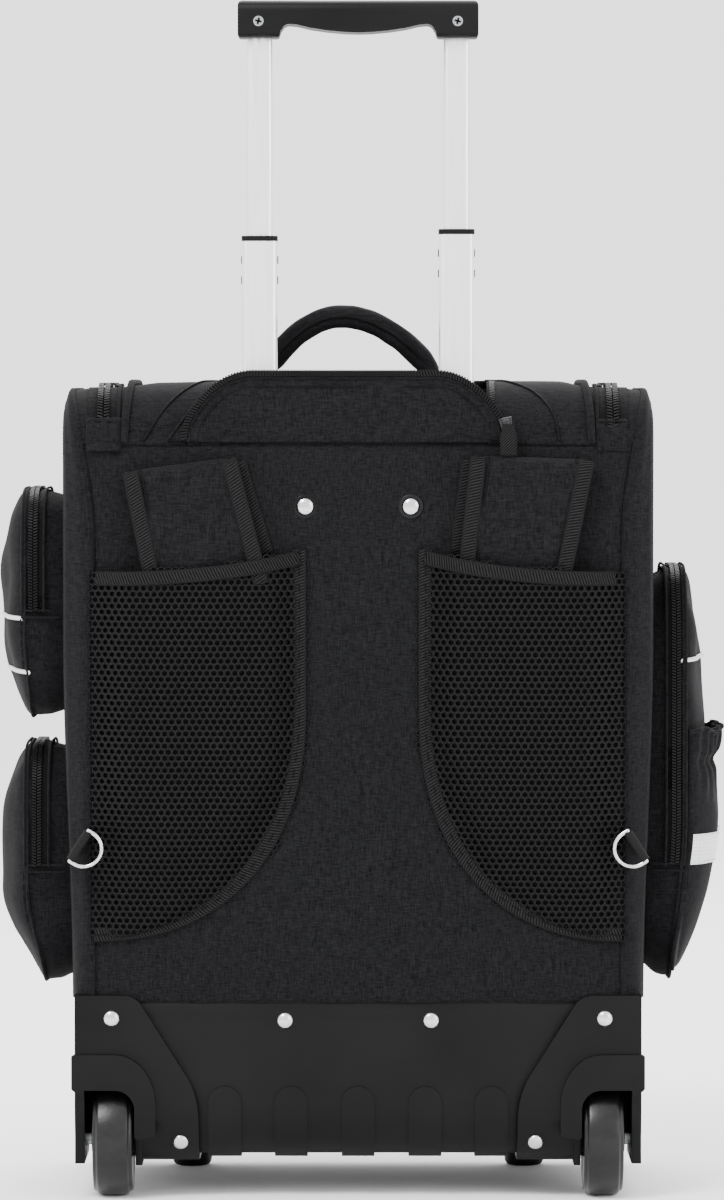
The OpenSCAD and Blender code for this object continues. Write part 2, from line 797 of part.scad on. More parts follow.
module pocket_slider(side, depth, z) {
    front_slider(side * (body_half + depth / 2 + 3), pocket_y1 + zip_t, z);
}

flap_slider_angle = 12;           // round the flap's corner from its base
flap_slider_y = back_y - gap - flap_t - gap;

module at_flap_slider() {
    translate([flap_right - flap_r, flap_slider_y, panel_top + 1]) rotate([0, -flap_slider_angle, 0])
        translate([flap_r, 0, 0]) children();
}

module flap_slider() {
    color("#2d2d2f") at_flap_slider() slider(false);
}

module flap_pull() {
    color("#1a1a1b") at_flap_slider() box(-5, 5, -slider_t - 2.4, -slider_t - 0.6, -10, 0.6);
}

base_tray();
wheel_housing(left);  // wheel_housing_left
wheel_housing(right);  // wheel_housing_right
tyre(left);  // tyre_left
tyre(right);  // tyre_right
hub(left);  // hub_left
hub(right);  // hub_right
axle(left);  // axle_left
axle(right);  // axle_right
rivets();
front_feet();
floor_board();
lower_bracket();
upper_bracket();
outer_tube(left);  // outer_tube_left
outer_tube(right);  // outer_tube_right
outer_collars();
mid_tube(left);  // mid_tube_left
mid_tube(right);  // mid_tube_right
mid_collars();
mid_guides();
inner_tube(left);  // inner_tube_left
inner_tube(right);  // inner_tube_right
inner_guides();
grip_shell(-1);  // grip_rear_shell
grip_shell(1);  // grip_front_shell
grip_screws();
release_button();
release_rods();
button_spring();
back_panel();
handle_liner();
side_wall(left);  // side_wall_left
side_wall(right);  // side_wall_right
front_wall();
top_yoke();
top_lid();
handle_flap();
carry_handle();
side_pocket(left, left_depth, pocket_y0, pocket_y1, upper_z[0], upper_z[1]);  // side_pocket_upper_left
side_pocket(left, left_depth, pocket_y0, pocket_y1, lower_z[0], lower_z[1]);  // side_pocket_lower_left
side_pocket(right, right_depth, pocket_y0, pocket_y1, right_z[0], right_z[1]);  // side_pocket_right
bottle_pouch();
front_pocket();
mesh_pocket(left);  // mesh_pocket_left
mesh_pocket(right);  // mesh_pocket_right
shoulder_strap(left);  // shoulder_strap_left
shoulder_strap(right);  // shoulder_strap_right
d_ring(left);  // d_ring_left
d_ring(right);  // d_ring_right
ring_loops();
zips();
flap_slider();
flap_pull();
front_slider(-12, front_y + zip_t, panel_top - 3);  // lid_slider_left
front_slider(12, front_y + zip_t, panel_top - 3);  // lid_slider_right
pocket_slider(left, left_depth, upper_z[0] + 70);  // pocket_slider_upper_left
pocket_slider(left, left_depth, lower_z[0] + 72);  // pocket_slider_lower_left
pocket_slider(right, right_depth, right_z[0] + 75);  // pocket_slider_right
front_slider(80, front_y + front_pocket_d, 373);  // front_pocket_slider
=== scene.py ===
"""Looks for the rolling backpack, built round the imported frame."""
import math
from bisect import bisect_right

import bmesh
import bpy
from mathutils import Matrix, Vector, noise


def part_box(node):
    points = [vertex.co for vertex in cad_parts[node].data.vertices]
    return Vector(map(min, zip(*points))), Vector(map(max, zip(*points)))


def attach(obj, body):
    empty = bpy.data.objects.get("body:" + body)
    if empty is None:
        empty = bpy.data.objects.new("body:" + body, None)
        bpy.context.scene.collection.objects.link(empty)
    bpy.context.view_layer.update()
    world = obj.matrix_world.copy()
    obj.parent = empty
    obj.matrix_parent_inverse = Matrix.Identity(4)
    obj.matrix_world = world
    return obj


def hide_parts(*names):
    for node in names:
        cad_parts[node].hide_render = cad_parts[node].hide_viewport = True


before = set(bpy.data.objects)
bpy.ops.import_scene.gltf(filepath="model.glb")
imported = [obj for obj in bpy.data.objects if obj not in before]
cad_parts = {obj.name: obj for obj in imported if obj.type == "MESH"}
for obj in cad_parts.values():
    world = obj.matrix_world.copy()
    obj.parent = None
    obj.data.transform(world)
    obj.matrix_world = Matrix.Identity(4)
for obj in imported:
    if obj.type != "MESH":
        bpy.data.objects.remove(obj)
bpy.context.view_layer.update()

MM = 0.001
Y = Vector((0, 1, 0))
Z = Vector((0, 0, 1))
LEFT = -1
RIGHT = 1
SIDES = {"left": LEFT, "right": RIGHT}


# ---- the frame's own sizes, in millimetres ----

def node_box(node):
    low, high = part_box(node)
    return low / MM, high / MM


panel_low, panel_high = node_box("back_panel")
_, wall_high = node_box("side_wall_right")
lid_low, lid_high = node_box("top_lid")
flap_low, flap_high = node_box("handle_flap")
front_low, _ = node_box("front_wall")

PANEL_HALF = panel_high.x
BACK = panel_low.y
FRONT = wall_high.y
HALF = wall_high.x
BASE_TOP = panel_low.z
TOP = wall_high.z
SEAM = lid_low.z
HINGE = lid_low.y
LID_HALF = lid_high.x
FRONT_HEM = front_low.z
REAR_R = TOP - SEAM
FRONT_R = 32                      # radius of the brow, where the top turns down to the front
CLOTH = 1.6                       # thickness of the shell cloth with its foam and lining


# ---- materials ----

def linear(code):
    """A colour's sRGB hex code as linear RGBA."""
    parts = [int(code[i:i + 2], 16) / 255 for i in (1, 3, 5)]
    return tuple(p / 12.92 if p <= 0.04045 else ((p + 0.055) / 1.055) ** 2.4 for p in parts) + (1,)


def add(tree, kind, links=None, stops=None, **settings):
    """Adds a node. links gives its sockets values or links, and stops gives a ramp its colours."""
    node = tree.nodes.new(kind)
    for key, value in settings.items():
        setattr(node, key, value)
    for socket, value in (links or {}).items():
        if isinstance(value, bpy.types.NodeSocket):
            tree.links.new(value, node.inputs[socket])
        else:
            node.inputs[socket].default_value = value
    for index, (place, code) in enumerate(stops or []):
        slot = node.color_ramp.elements[index] if index < 2 else node.color_ramp.elements.new(place)
        slot.position = place
        slot.color = linear(code)
    return node


def start(name, roughness, specular=0.5, **shader):
    """A new material, its node tree and its shader, with the shader's plain values set."""
    material = bpy.data.materials.new(name)
    material.use_nodes = True
    tree = material.node_tree
    tree.nodes.clear()
    values = {"Roughness": roughness, "Specular IOR Level": specular, **shader}
    bsdf = add(tree, "ShaderNodeBsdfPrincipled", values)
    add(tree, "ShaderNodeOutputMaterial", {"Surface": bsdf.outputs[0]})
    return material, tree, bsdf


def dress(tree, bsdf, colour, height, depth_mm, strength=1.0):
    """Links a colour and a bump height to the shader."""
    bump = add(tree, "ShaderNodeBump", {"Height": height, "Distance": depth_mm * MM, "Strength": strength})
    tree.links.new(colour, bsdf.inputs["Base Color"])
    tree.links.new(bump.outputs[0], bsdf.inputs["Normal"])


def per_mm(size):
    """The scale at which one period of a pattern in metres is size millimetres."""
    return 1 / (size * MM)


def coordinates(tree, kind="Object"):
    return add(tree, "ShaderNodeTexCoord").outputs[kind]


def stretched(tree, place, scale):
    return add(tree, "ShaderNodeMapping", {"Vector": place, "Scale": scale}).outputs[0]


def along_piece(tree, size_u, size_v):
    """The piece's own UVs in metres, turned into periods of the two sizes in millimetres."""
    return stretched(tree, coordinates(tree, "UV"), (per_mm(size_u), per_mm(size_v), 1))


def grain(tree, place, size, detail, **more):
    """Noise with spots of a size in millimetres."""
    values = {"Vector": place, "Scale": per_mm(size), "Detail": detail, **more}
    return add(tree, "ShaderNodeTexNoise", values).outputs[0]


def ribs(tree, place, scale, across, **more):
    values = {"Vector": place, "Scale": scale, **more}
    return add(tree, "ShaderNodeTexWave", values, bands_direction=across).outputs[1]


def tint(tree, value, dark, light, low, high):
    """A ramp from a dark colour at low to a light one at high."""
    return add(tree, "ShaderNodeValToRGB", {0: value}, stops=[(low, dark), (high, light)]).outputs[0]


def melange_polyester(name, dark, light):
    """Two-tone polyester canvas, woven from slub yarn: matt, with short pale streaks both ways."""
    material, tree, bsdf = start(name, 0.85, 0.07, **{"Sheen Weight": 0.02, "Sheen Roughness": 0.5})
    place = coordinates(tree)
    # Slubs are 0.8 mm thick, drawn a little coarser than real yarn so that they show, and 5 mm long.
    warp, weft = (grain(tree, stretched(tree, place, scale), 0.8, 2.0, Roughness=0.6)
                  for scale in ((1, 1, 0.16), (0.16, 0.16, 1)))
    both = add(tree, "ShaderNodeMath", {0: warp, 1: weft}, operation="ADD").outputs[0]
    half = add(tree, "ShaderNodeMath", {0: both, 1: 0.5}, operation="MULTIPLY").outputs[0]
    dress(tree, bsdf, tint(tree, half, dark, light, 0.34, 0.68), half, 0.3, 0.7)
    return material


def twill_tape(name, dark, light, pitch=0.62):
    """Woven polyester twill tape: a satin sheen broken by diagonal ribs."""
    material, tree, bsdf = start(name, 0.75, 0.08)
    twill = ribs(tree, along_piece(tree, pitch, pitch), 0.22, "DIAGONAL",
                 **{"Distortion": 1.2, "Detail": 1.0, "Detail Scale": 2.0})
    dress(tree, bsdf, tint(tree, twill, dark, light, 0.2, 0.85), twill, 0.3, 0.8)
    return material


def grosgrain(name, dark, light):
    """Ribbed polypropylene web: fine ribs straight across, slightly glossy."""
    material, tree, bsdf = start(name, 0.6, 0.15)
    cords = ribs(tree, along_piece(tree, 1.6, 1.6), 0.2, "Y", Distortion=0.3)
    dress(tree, bsdf, tint(tree, cords, dark, light, 0.2, 0.8), cords, 0.4)
    return material


def spacer_yarn(name, dark, light):
    """Knitted polyester monofilament of the spacer mesh: faintly shiny, with fine loops."""
    material, tree, bsdf = start(name, 0.65, 0.09)
    loops = grain(tree, coordinates(tree), 1.0, 3.0)
    dress(tree, bsdf, tint(tree, loops, dark, light, 0.35, 0.65), loops, 0.3)
    return material


def moulded_plastic(name, dark, light, roughness, spark=0.9, depth=0.08):
    """Injection-moulded polypropylene off a spark-eroded tool: a low satin gloss over a fine grain."""
    material, tree, bsdf = start(name, roughness, 0.12, IOR=1.49)
    place = coordinates(tree)
    fine = grain(tree, place, spark, 3.0)
    broad = grain(tree, place, 60, 4.0)
    rough = add(tree, "ShaderNodeMapRange", {"Value": broad, "From Min": 0.3, "From Max": 0.7,
                                             "To Min": roughness - 0.06, "To Max": roughness + 0.08})
    tree.links.new(rough.outputs[0], bsdf.inputs["Roughness"])
    dress(tree, bsdf, tint(tree, broad, dark, light, 0.35, 0.7), fine, depth)
    return material


EVEN = (1, 1, 1)                  # a plated skin with no direction to its grain


def brushed_metal(name, dark, light, roughness, stretch=(1.0, 1.0, 0.02)):
    """Metal with a drawn or brushed grain along its length, under a satin anodised or plated skin."""
    material, tree, bsdf = start(name, roughness, Metallic=1.0)
    lines = grain(tree, stretched(tree, coordinates(tree), stretch), 0.8, 3.0)
    dress(tree, bsdf, tint(tree, lines, dark, light, 0.3, 0.7), lines, 0.02, 0.5)
    return material


def tread_rubber(name, dark, light):
    """Solid thermoplastic rubber: black with a low gloss, greyed a little where it has rolled."""
    material, tree, bsdf = start(name, 0.3, 0.28, IOR=1.52)
    scuffs = grain(tree, coordinates(tree), 3.5, 6.0, Roughness=0.7)
    dress(tree, bsdf, tint(tree, scuffs, dark, light, 0.4, 0.75), scuffs, 0.12)
    return material


def glass_bead_tape(name, dark, light):
    """Retroreflective tape: silver grey, with a faint pressed lattice in its film."""
    material, tree, bsdf = start(name, 0.38, Metallic=0.35)
    values = {"Vector": along_piece(tree, 2.2, 2.2), "Scale": 1.0, "Randomness": 0.15}
    cells = add(tree, "ShaderNodeTexVoronoi", values).outputs[0]
    dress(tree, bsdf, tint(tree, cells, light, dark, 0.1, 0.8), cells, 0.05)
    return material


canvas = melange_polyester("melange_canvas", "#030304", "#19191b")
lining = melange_polyester("nylon_lining", "#09090a", "#19191b")
binding_tape = twill_tape("twill_binding", "#020202", "#1d1d1e")
zip_cloth = twill_tape("zip_tape", "#030303", "#0e0e0f", 0.5)
web = grosgrain("grosgrain_web", "#030303", "#171718")
mesh_yarn = spacer_yarn("spacer_mesh_yarn", "#040404", "#131314")
mesh_ground = spacer_yarn("spacer_mesh_ground", "#020202", "#070708")
stitching = spacer_yarn("stitching_thread", "#030303", "#0c0c0d")
coil = moulded_plastic("nylon_coil", "#070707", "#101011", 0.4, 0.5)
polypropylene = moulded_plastic("moulded_polypropylene", "#060607", "#0c0c0d", 0.44)
grip_plastic = moulded_plastic("grip_polypropylene", "#060607", "#0c0c0d", 0.48, 0.7)
nylon = moulded_plastic("glass_filled_nylon", "#0a0a0b", "#121213", 0.5)
rubber = tread_rubber("tread_rubber", "#050505", "#111112")
aluminium = brushed_metal("anodised_aluminium", "#eceded", "#fbfbfb", 0.36)
aluminium_dull = brushed_metal("outer_tube_aluminium", "#8b8d90", "#a4a6a8", 0.42)
nickel = brushed_metal("nickel_plate", "#b9babb", "#dcdddd", 0.24, EVEN)
zinc_steel = brushed_metal("zinc_plated_steel", "#8a8c8e", "#acaeb0", 0.36, EVEN)
enamel = moulded_plastic("black_enamel", "#0a0a0b", "#131315", 0.28, 0.6, 0.03)
reflective = glass_bead_tape("glass_bead_tape", "#b4b5b5", "#dfe0e0")
black_nickel = brushed_metal("black_nickel_plate", "#2a2a2b", "#3c3c3e", 0.3, EVEN)
hardboard = moulded_plastic("sealed_hardboard", "#191512", "#241f1b", 0.6)


# ---- making pieces ----

def settle(name, data, finishes, body):
    """Puts a piece in the scene, with its finishes, riding on a body."""
    piece = bpy.data.objects.new(name, data)
    bpy.context.scene.collection.objects.link(piece)
    for finish in finishes:
        data.materials.append(finish)
    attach(piece, body)
    return piece


def finish_piece(name, bm, finishes, body, smooth=True, recalc=True):
    """Turns a bmesh, in millimetres, into a piece that rides on a body."""
    bmesh.ops.scale(bm, verts=bm.verts, vec=(MM, MM, MM))
    if recalc:
        bmesh.ops.recalc_face_normals(bm, faces=bm.faces)
    for face in bm.faces:
        face.smooth = smooth
    mesh = bpy.data.meshes.new(name)
    bm.to_mesh(mesh)
    bm.free()
    return settle(name, mesh, finishes, body)


def modify(piece, kind, **settings):
    modifier = piece.modifiers.new(kind.lower(), kind)
    for key, value in settings.items():
        setattr(modifier, key, value)
    return modifier


def sheet_mesh(nu, nv, place, size=(100, 100)):
    """A grid of nu by nv faces, whose point (u, v) goes to place(u, v), with UVs in metres along it."""
    bm = bmesh.new()
    uv = bm.loops.layers.uv.new("UVMap")
    bmesh.ops.create_grid(bm, x_segments=nu, y_segments=nv, size=0.5, calc_uvs=True)
    for face in bm.faces:
        for loop in face.loops:
            u, v = loop.vert.co.x + 0.5, loop.vert.co.y + 0.5
            loop[uv].uv = (u * size[0] * MM, v * size[1] * MM)
    for vert in bm.verts:
        vert.co = place(vert.co.x + 0.5, vert.co.y + 0.5)
    return bm


def cloth(name, nu, nv, place, finish=canvas, body="bag", size=(100, 100), thick=CLOTH,
          closed=False):
    """A sheet of cloth on the surface that place gives, with its thickness on the inside."""
    bm = sheet_mesh(nu, nv, place, size)
    if closed:
        bmesh.ops.remove_doubles(bm, verts=bm.verts, dist=0.01)
    piece = finish_piece(name, bm, [finish], body, recalc=closed)
    if thick and not closed:
        modify(piece, "SOLIDIFY", thickness=thick * MM, offset=-1, use_even_offset=False)
    return piece


def route(points):
    """A path through points: a function of distance that gives the point and its direction, and the length."""
    points = [Vector(p) for p in points]
    gone = [0]
    for a, b in zip(points, points[1:]):
        gone.append(gone[-1] + (b - a).length)

    def at(distance):
        distance = min(max(distance, 0), gone[-1])
        i = min(bisect_right(gone, distance) - 1, len(points) - 2)
        step = points[i + 1] - points[i]
        return points[i] + step * ((distance - gone[i]) / max(gone[i + 1] - gone[i], 1e-6)), step.normalized()

    return at, gone[-1]


def smoothed(points, steps=10):
    """A Catmull-Rom curve through a few points."""
    points = [Vector(p) for p in points]
    ends = [2 * points[0] - points[1]] + points + [2 * points[-1] - points[-2]]
    out = []
    for a, b, c, d in zip(ends, ends[1:], ends[2:], ends[3:]):
        for k in range(steps):
            t = k / steps
            out.append(0.5 * (2 * b + (c - a) * t + (2 * a - 5 * b + 4 * c - d) * t * t
                              + (3 * b - a - 3 * c + d) * t ** 3))
    return out + [points[-1]]


def cord_lines(name, paths, radius, finish=canvas, body="bag"):
    """Cords of one radius along several paths, such as piping and stitched seams."""
    data = bpy.data.curves.new(name, "CURVE")
    data.dimensions = "3D"
    data.bevel_depth = radius * MM
    data.bevel_resolution = 2
    data.use_fill_caps = True
    for points in paths:
        spline = data.splines.new("POLY")
        spline.points.add(len(points) - 1)
        for spot, point in zip(spline.points, points):
            spot.co = (*(Vector(point) * MM), 1)
    return settle(name, data, [finish], body)


def tape(name, points, out, width, thick, body="bag"):
    """A flat binding tape with rounded edges, along a path, that faces out."""
    at, length = route(points)

    def place(u, v):
        angle = 2 * math.pi * v
        point, ahead = at(u * length)
        across = ahead.cross(out).normalized()
        wide = abs(math.cos(angle)) ** 0.35 * math.copysign(1, math.cos(angle))
        high = abs(math.sin(angle)) ** 0.8 * math.copysign(1, math.sin(angle))
        return point + across * wide * width / 2 + out * (high * thick / 2 + thick / 2)

    bm = sheet_mesh(max(6, int(length / 4)), 16, place, (length, 2 * width))
    bmesh.ops.remove_doubles(bm, verts=bm.verts, dist=0.01)
    bmesh.ops.holes_fill(bm, edges=[e for e in bm.edges if e.is_boundary], sides=0)
    return finish_piece(name, bm, [binding_tape], body)


def teeth(bm, at, start_at, end_at, facing, pitch, tooth, shift, lean=0.0):
    """A row of coil turns along a path, each a small block, shifted across it."""
    count = int((end_at - start_at) / pitch)
    for k in range(count):
        point, ahead = at(start_at + (k + 0.5) * pitch)
        out = facing(point).normalized()
        across = ahead.cross(out).normalized()
        slant = (across + ahead * lean).normalized()
        size = Vector(tooth)
        place = Matrix((slant * size.x, ahead * size.y, out * size.z)).transposed().to_4x4()
        place.translation = point + across * shift + out * size.z / 2
        made = bmesh.ops.create_cube(bm, size=1, matrix=place)
        faces = {f for v in made["verts"] for f in v.link_faces}
        for face in faces:
            face.material_index = 1


def zip_run(name, points, facing, body, rows, width, pitch, tooth, lift):
    """A zip along a path: its woven tape, and a row of coil turns on each side of the middle."""
    at, length = route(points)
    low = -0.5 if -1 in rows else 0.0
    high = 0.5 if 1 in rows else 0.0

    def place(u, v):
        point, ahead = at(u * length)
        out = facing(point).normalized()
        across = ahead.cross(out).normalized()
        return point + across * width * (low + (high - low) * v) + out * lift

    bm = sheet_mesh(max(8, int(length / 5)), 6, place, (length, width))
    bmesh.ops.solidify(bm, geom=bm.faces, thickness=0.7)
    for row in rows:
        begin = pitch / 2 if row > 0 else 0
        teeth(bm, at, begin, length, facing, pitch, tooth, row * tooth[0] * 0.58, row * 0.3)
    return finish_piece(name, bm, [zip_cloth, coil], body, smooth=False)


def turned(place):
    """The same surface with its face the other way."""
    return lambda u, v: place(u, 1 - v)


def crumple(point, size, height):
    """Soft unevenness of cloth: smooth noise of a given size and height, in millimetres."""
    return noise.noise(Vector(point) / size) * height


def ease(value, low, high):
    """0 below low, 1 above high, and smooth in between."""
    t = min(max((value - low) / (high - low), 0), 1)
    return t * t * (3 - 2 * t)


def superellipse(angle, a, b, power):
    c, s = math.cos(angle), math.sin(angle)
    return (a * math.copysign(abs(c) ** (2 / power), c), b * math.copysign(abs(s) ** (2 / power), s))


# ---- the body's skin: a profile over the bag, from the foot of the back panel to the front hem ----

REAR_FLAT = SEAM - BASE_TOP
REAR_ARC = REAR_R * math.pi / 2
FLAT = FRONT - FRONT_R - (BACK + REAR_R)
FRONT_ARC = FRONT_R * math.pi / 2
FRONT_FLAT = TOP - FRONT_R - FRONT_HEM
S_SEAM = REAR_FLAT
S_TOP = S_SEAM + REAR_ARC
S_HINGE = S_TOP + HINGE - (BACK + REAR_R)
S_FRONT = S_TOP + FLAT
S_BROW = S_FRONT + FRONT_ARC
S_LID_END = S_BROW + TOP - FRONT_R - SEAM
S_HEM = S_BROW + FRONT_FLAT


def skin(x, s, lift=0.0):
    """The point of the skin at x and at distance s along the profile, raised by lift."""
    if s < S_TOP:
        if s < S_SEAM:
            base, out = Vector((x, BACK, BASE_TOP + s)), -Y
        else:
            a = (s - S_SEAM) / REAR_R
            out = Vector((0, -math.cos(a), math.sin(a)))
            base = Vector((x, BACK + REAR_R, SEAM)) + out * REAR_R
    elif s < S_FRONT:
        base, out = Vector((x, BACK + REAR_R + s - S_TOP, TOP)), Z.copy()
    elif s < S_BROW:
        a = (s - S_FRONT) / FRONT_R
        out = Vector((0, math.sin(a), math.cos(a)))
        base = Vector((x, FRONT - FRONT_R, TOP - FRONT_R)) + out * FRONT_R
    else:
        base, out = Vector((x, FRONT, TOP - FRONT_R - (s - S_BROW))), Y.copy()
    over_top = ease(s, S_SEAM - 10, S_TOP - 10) * (1 - ease(s, S_BROW, S_BROW + 50))
    sag = 2.6 + 4.5 * (abs(x) / HALF) ** 6
    return base + out * (lift - sag * over_top)


def skin_normal(point):
    """The outward direction of the skin, near a point on it."""
    if point.z < SEAM and point.y < 0:
        return -Y
    if point.z < TOP - FRONT_R and point.y > 0:
        return Y.copy()
    if point.y < BACK + REAR_R:
        return Vector((0, point.y - BACK - REAR_R, max(point.z - SEAM, 0))).normalized()
    if point.y > FRONT - FRONT_R:
        return Vector((0, point.y - FRONT + FRONT_R, max(point.z - TOP + FRONT_R, 0))).normalized()
    return Z.copy()


def skin_line(x, s0, s1, lift=0.0, step=4.0):
    """A line along the skin; x is a number or a function of s."""
    count = max(2, int(abs(s1 - s0) / step))
    spots = [s0 + (s1 - s0) * k / count for k in range(count + 1)]
    return [skin(x(s) if callable(x) else x, s, lift) for s in spots]


BASE_HALF = 166.6


def body_half(z):
    """Half the body's width, which narrows towards the base."""
    return BASE_HALF + (HALF - BASE_HALF) * ease(z, BASE_TOP, 330)


ROLL_BASE = PANEL_HALF + 0.6


def roll_start(s):
    """Where the panels end and the rolled edge begins: it sweeps outwards over the top."""
    return ROLL_BASE + 12.5 * ease(s, S_SEAM - 55, S_TOP - 10) * (1 - ease(s, S_BROW, S_BROW + 80))


# ---- body panels ----

RIVETS = [(side * 31, 408) for side in (LEFT, RIGHT)]
QUILT_Z = 386                     # the short line of stitching below the rivets
QUILT_HALF = 34


def back_panel():
    """The padded back panel, dimpled round the rivets."""
    def place(u, v):
        s = v * (S_SEAM - 0.1)
        x = (2 * u - 1) * (roll_start(s) - 0.6)
        edge = min(roll_start(s) - abs(x), s + 4, S_SEAM - s + 2)
        z = BASE_TOP + s
        puff = 2.6 * (1 - math.exp(-max(edge, 0) / 9))
        for rx, rz in RIVETS:
            puff *= 1 - 0.95 * math.exp(-((x - rx) ** 2 + (z - rz) ** 2) / 120)
        line = QUILT_Z + 1.5 * math.cos(x / 30)
        if abs(x) < QUILT_HALF:
            puff -= 0.9 * math.exp(-((z - line) / 1.6) ** 2)
        puff += crumple((x, 0, z * 0.45), 34, 0.9) + crumple((x * 0.6, 3, z), 15, 0.3)
        return skin(x, s, puff * ease(edge, 0, 6))

    piece = cloth("back_panel_pad", 150, 150, place, size=(310, 329), thick=5)
    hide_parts("back_panel")


ROLL_REAR = 17                    # how far in from the back the rolled edge reaches
ROLL_TOP = 12                     # and from the top and the front


def rolled_edges():
    """The strip between the back panel and the side, which rolls round the edge and over the top."""
    for word, side in SIDES.items():
        def place(u, v):
            s = 2 + u * (S_HEM - 4)
            base = skin(0, s)
            begin = roll_start(s)
            angle = v * math.pi / 2
            ridge = 0.9 * math.sin(v * math.pi * 3) * ease(base.z, 130, 200)
            wave = crumple((side * 20, base.y * 1.2, base.z * 0.8), 26, 1.1)
            x = begin + (body_half(base.z) - begin) * math.sin(angle)
            deep = ROLL_REAR - (ROLL_REAR - ROLL_TOP) * ease(s, S_SEAM - 20, S_TOP - 20)
            point = skin(begin, s, ridge + wave * v * (1 - v) * 3 - deep * (1 - math.cos(angle)))
            return Vector((side * x, point.y, point.z))

        cloth(f"rolled_edge_{word}", 260, 12, turned(place) if side < 0 else place, size=(850, 24))
        rear, outer = ([place(k / 220, v) - Y * 0.2 for k in range(221)] for v in (0.02, 0.97))
        cord_lines(f"piping_rear_{word}", [rear[:84]], 1.5)
        cord_lines(f"piping_outer_{word}", [outer], 2.1)


def side_top(y):
    """Height of a side panel's upper edge at y: the profile, taken in by the rolled edge."""
    inset = ROLL_TOP + 2
    if y < BACK + REAR_R:
        r = REAR_R - inset
        return SEAM + math.sqrt(max(r * r - (y - BACK - REAR_R) ** 2, 0))
    if y > FRONT - FRONT_R:
        r = FRONT_R - inset
        return TOP - FRONT_R + math.sqrt(max(r * r - (y - FRONT + FRONT_R) ** 2, 0))
    return TOP - inset


HOUSING_TOP = 120.6               # the side walls end here over the wheel housings
TRAY_TOP = 61                     # and here over the base tray
HOUSING_FRONT = -45


def side_panels():
    """The cloth of each side, inside the rolled edge."""
    for word, side in SIDES.items():
        def place(u, v):
            if side < 0:
                u = 1 - u
            y = BACK + ROLL_REAR - 0.6 + u * (FRONT - BACK - ROLL_REAR - ROLL_TOP + 1)
            foot = HOUSING_TOP if y < HOUSING_FRONT else TRAY_TOP
            z = foot + v * (side_top(y) - foot)
            edge = min(u, 1 - u, (1 - v) * 1.4) * 2
            bulge = 2.4 * ease(edge, 0, 0.6) + crumple((side * 9, y, z), 40, 1.6) * ease(edge, 0, 0.2)
            return Vector((side * (body_half(z) - 0.4 + bulge), y, z))

        piece = cloth(f"side_panel_{word}", 60, 120, place, size=(160, 400))
        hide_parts(f"side_wall_{word}")


def front_panel():
    def place(u, v):
        s = S_LID_END + 1.5 + (1 - v) * (S_HEM - S_LID_END - 2)
        half = roll_start(s) - 0.4
        x = (1 - 2 * u) * half
        s -= 4 * ease(abs(x), 141, 146) * ease(v, 0.9, 1)
        edge = min(half - abs(x), s - S_LID_END, S_HEM - s + 6)
        return skin(x, s, 0.5 + crumple((x, 60, s), 50, 1.2) * ease(edge, 0, 30))

    piece = cloth("front_panel", 80, 100, place, size=(310, 380), thick=4)
    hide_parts("front_wall")


INNER_PIPE = 134
ZIP_X = LID_HALF + 0.15
NOTCH = (-80, 77)                 # the notch's left and right ends
NOTCH_FRONT = -66



def top_puff(x, s):
    """How the padded top rises between its pipings."""
    between = ease(INNER_PIPE - abs(x), -2, 16)
    return between * (1.6 + crumple((x, s, 7), 48, 1.5)) + crumple((x, s, 1), 17, 0.25)


def yoke():
    """The fixed rear of the top, notched where the pull handle comes up."""
    def place(u, v):
        x = (2 * u - 1) * LID_HALF
        s = S_SEAM - 1.6 + v * (S_HINGE + 1.1 - S_SEAM)
        fold = 1.3 * (1 - ease(s, S_SEAM, S_SEAM + 5))
        return skin(x, s, top_puff(x, s) * ease(s, S_SEAM, S_SEAM + 14) + fold)

    bm = sheet_mesh(130, 50, place, (300, 92))
    gone = [f for f in bm.faces if NOTCH[0] < f.calc_center_median().x < NOTCH[1]
            and f.calc_center_median().y < NOTCH_FRONT]
    bmesh.ops.delete(bm, geom=gone, context="FACES")
    piece = finish_piece("top_yoke_cloth", bm, [canvas], "bag", recalc=False)
    modify(piece, "SOLIDIFY", thickness=3 * MM, offset=-1)
    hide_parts("top_yoke")


def lid():
    def place(u, v):
        x = (2 * u - 1) * LID_HALF
        s = S_HINGE + v * (S_LID_END - S_HINGE)
        return skin(x, s, top_puff(x, s) * ease(S_LID_END - s, 0, 20))

    piece = cloth("lid_cloth", 120, 70, place, canvas, "lid", (300, 140), 4)
    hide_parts("top_lid")
    hem = [skin(x, S_LID_END - 2, 0.6) for x in range(-148, 149, 4)]
    tape("lid_hem", hem, Y, 9, 1.2, "lid")


def top_bands():
    """The outer zip tapes and the cloth beside them, from the rear seam over to the front."""
    for word, side in SIDES.items():
        def place(u, v):
            s = S_SEAM - 1.8 + u * (S_LID_END - S_SEAM + 0.8)
            x = LID_HALF + 0.4 + v * (roll_start(s) + 2.5 - LID_HALF - 0.4)
            lift = 0.6 * math.sin(v * math.pi) + crumple((side * x, s, 2), 20, 0.5)
            point = skin(x, s, lift)
            return Vector((side * point.x, point.y, point.z))

        cloth(f"top_band_{word}", 90, 8, turned(place) if side > 0 else place, size=(240, 18))


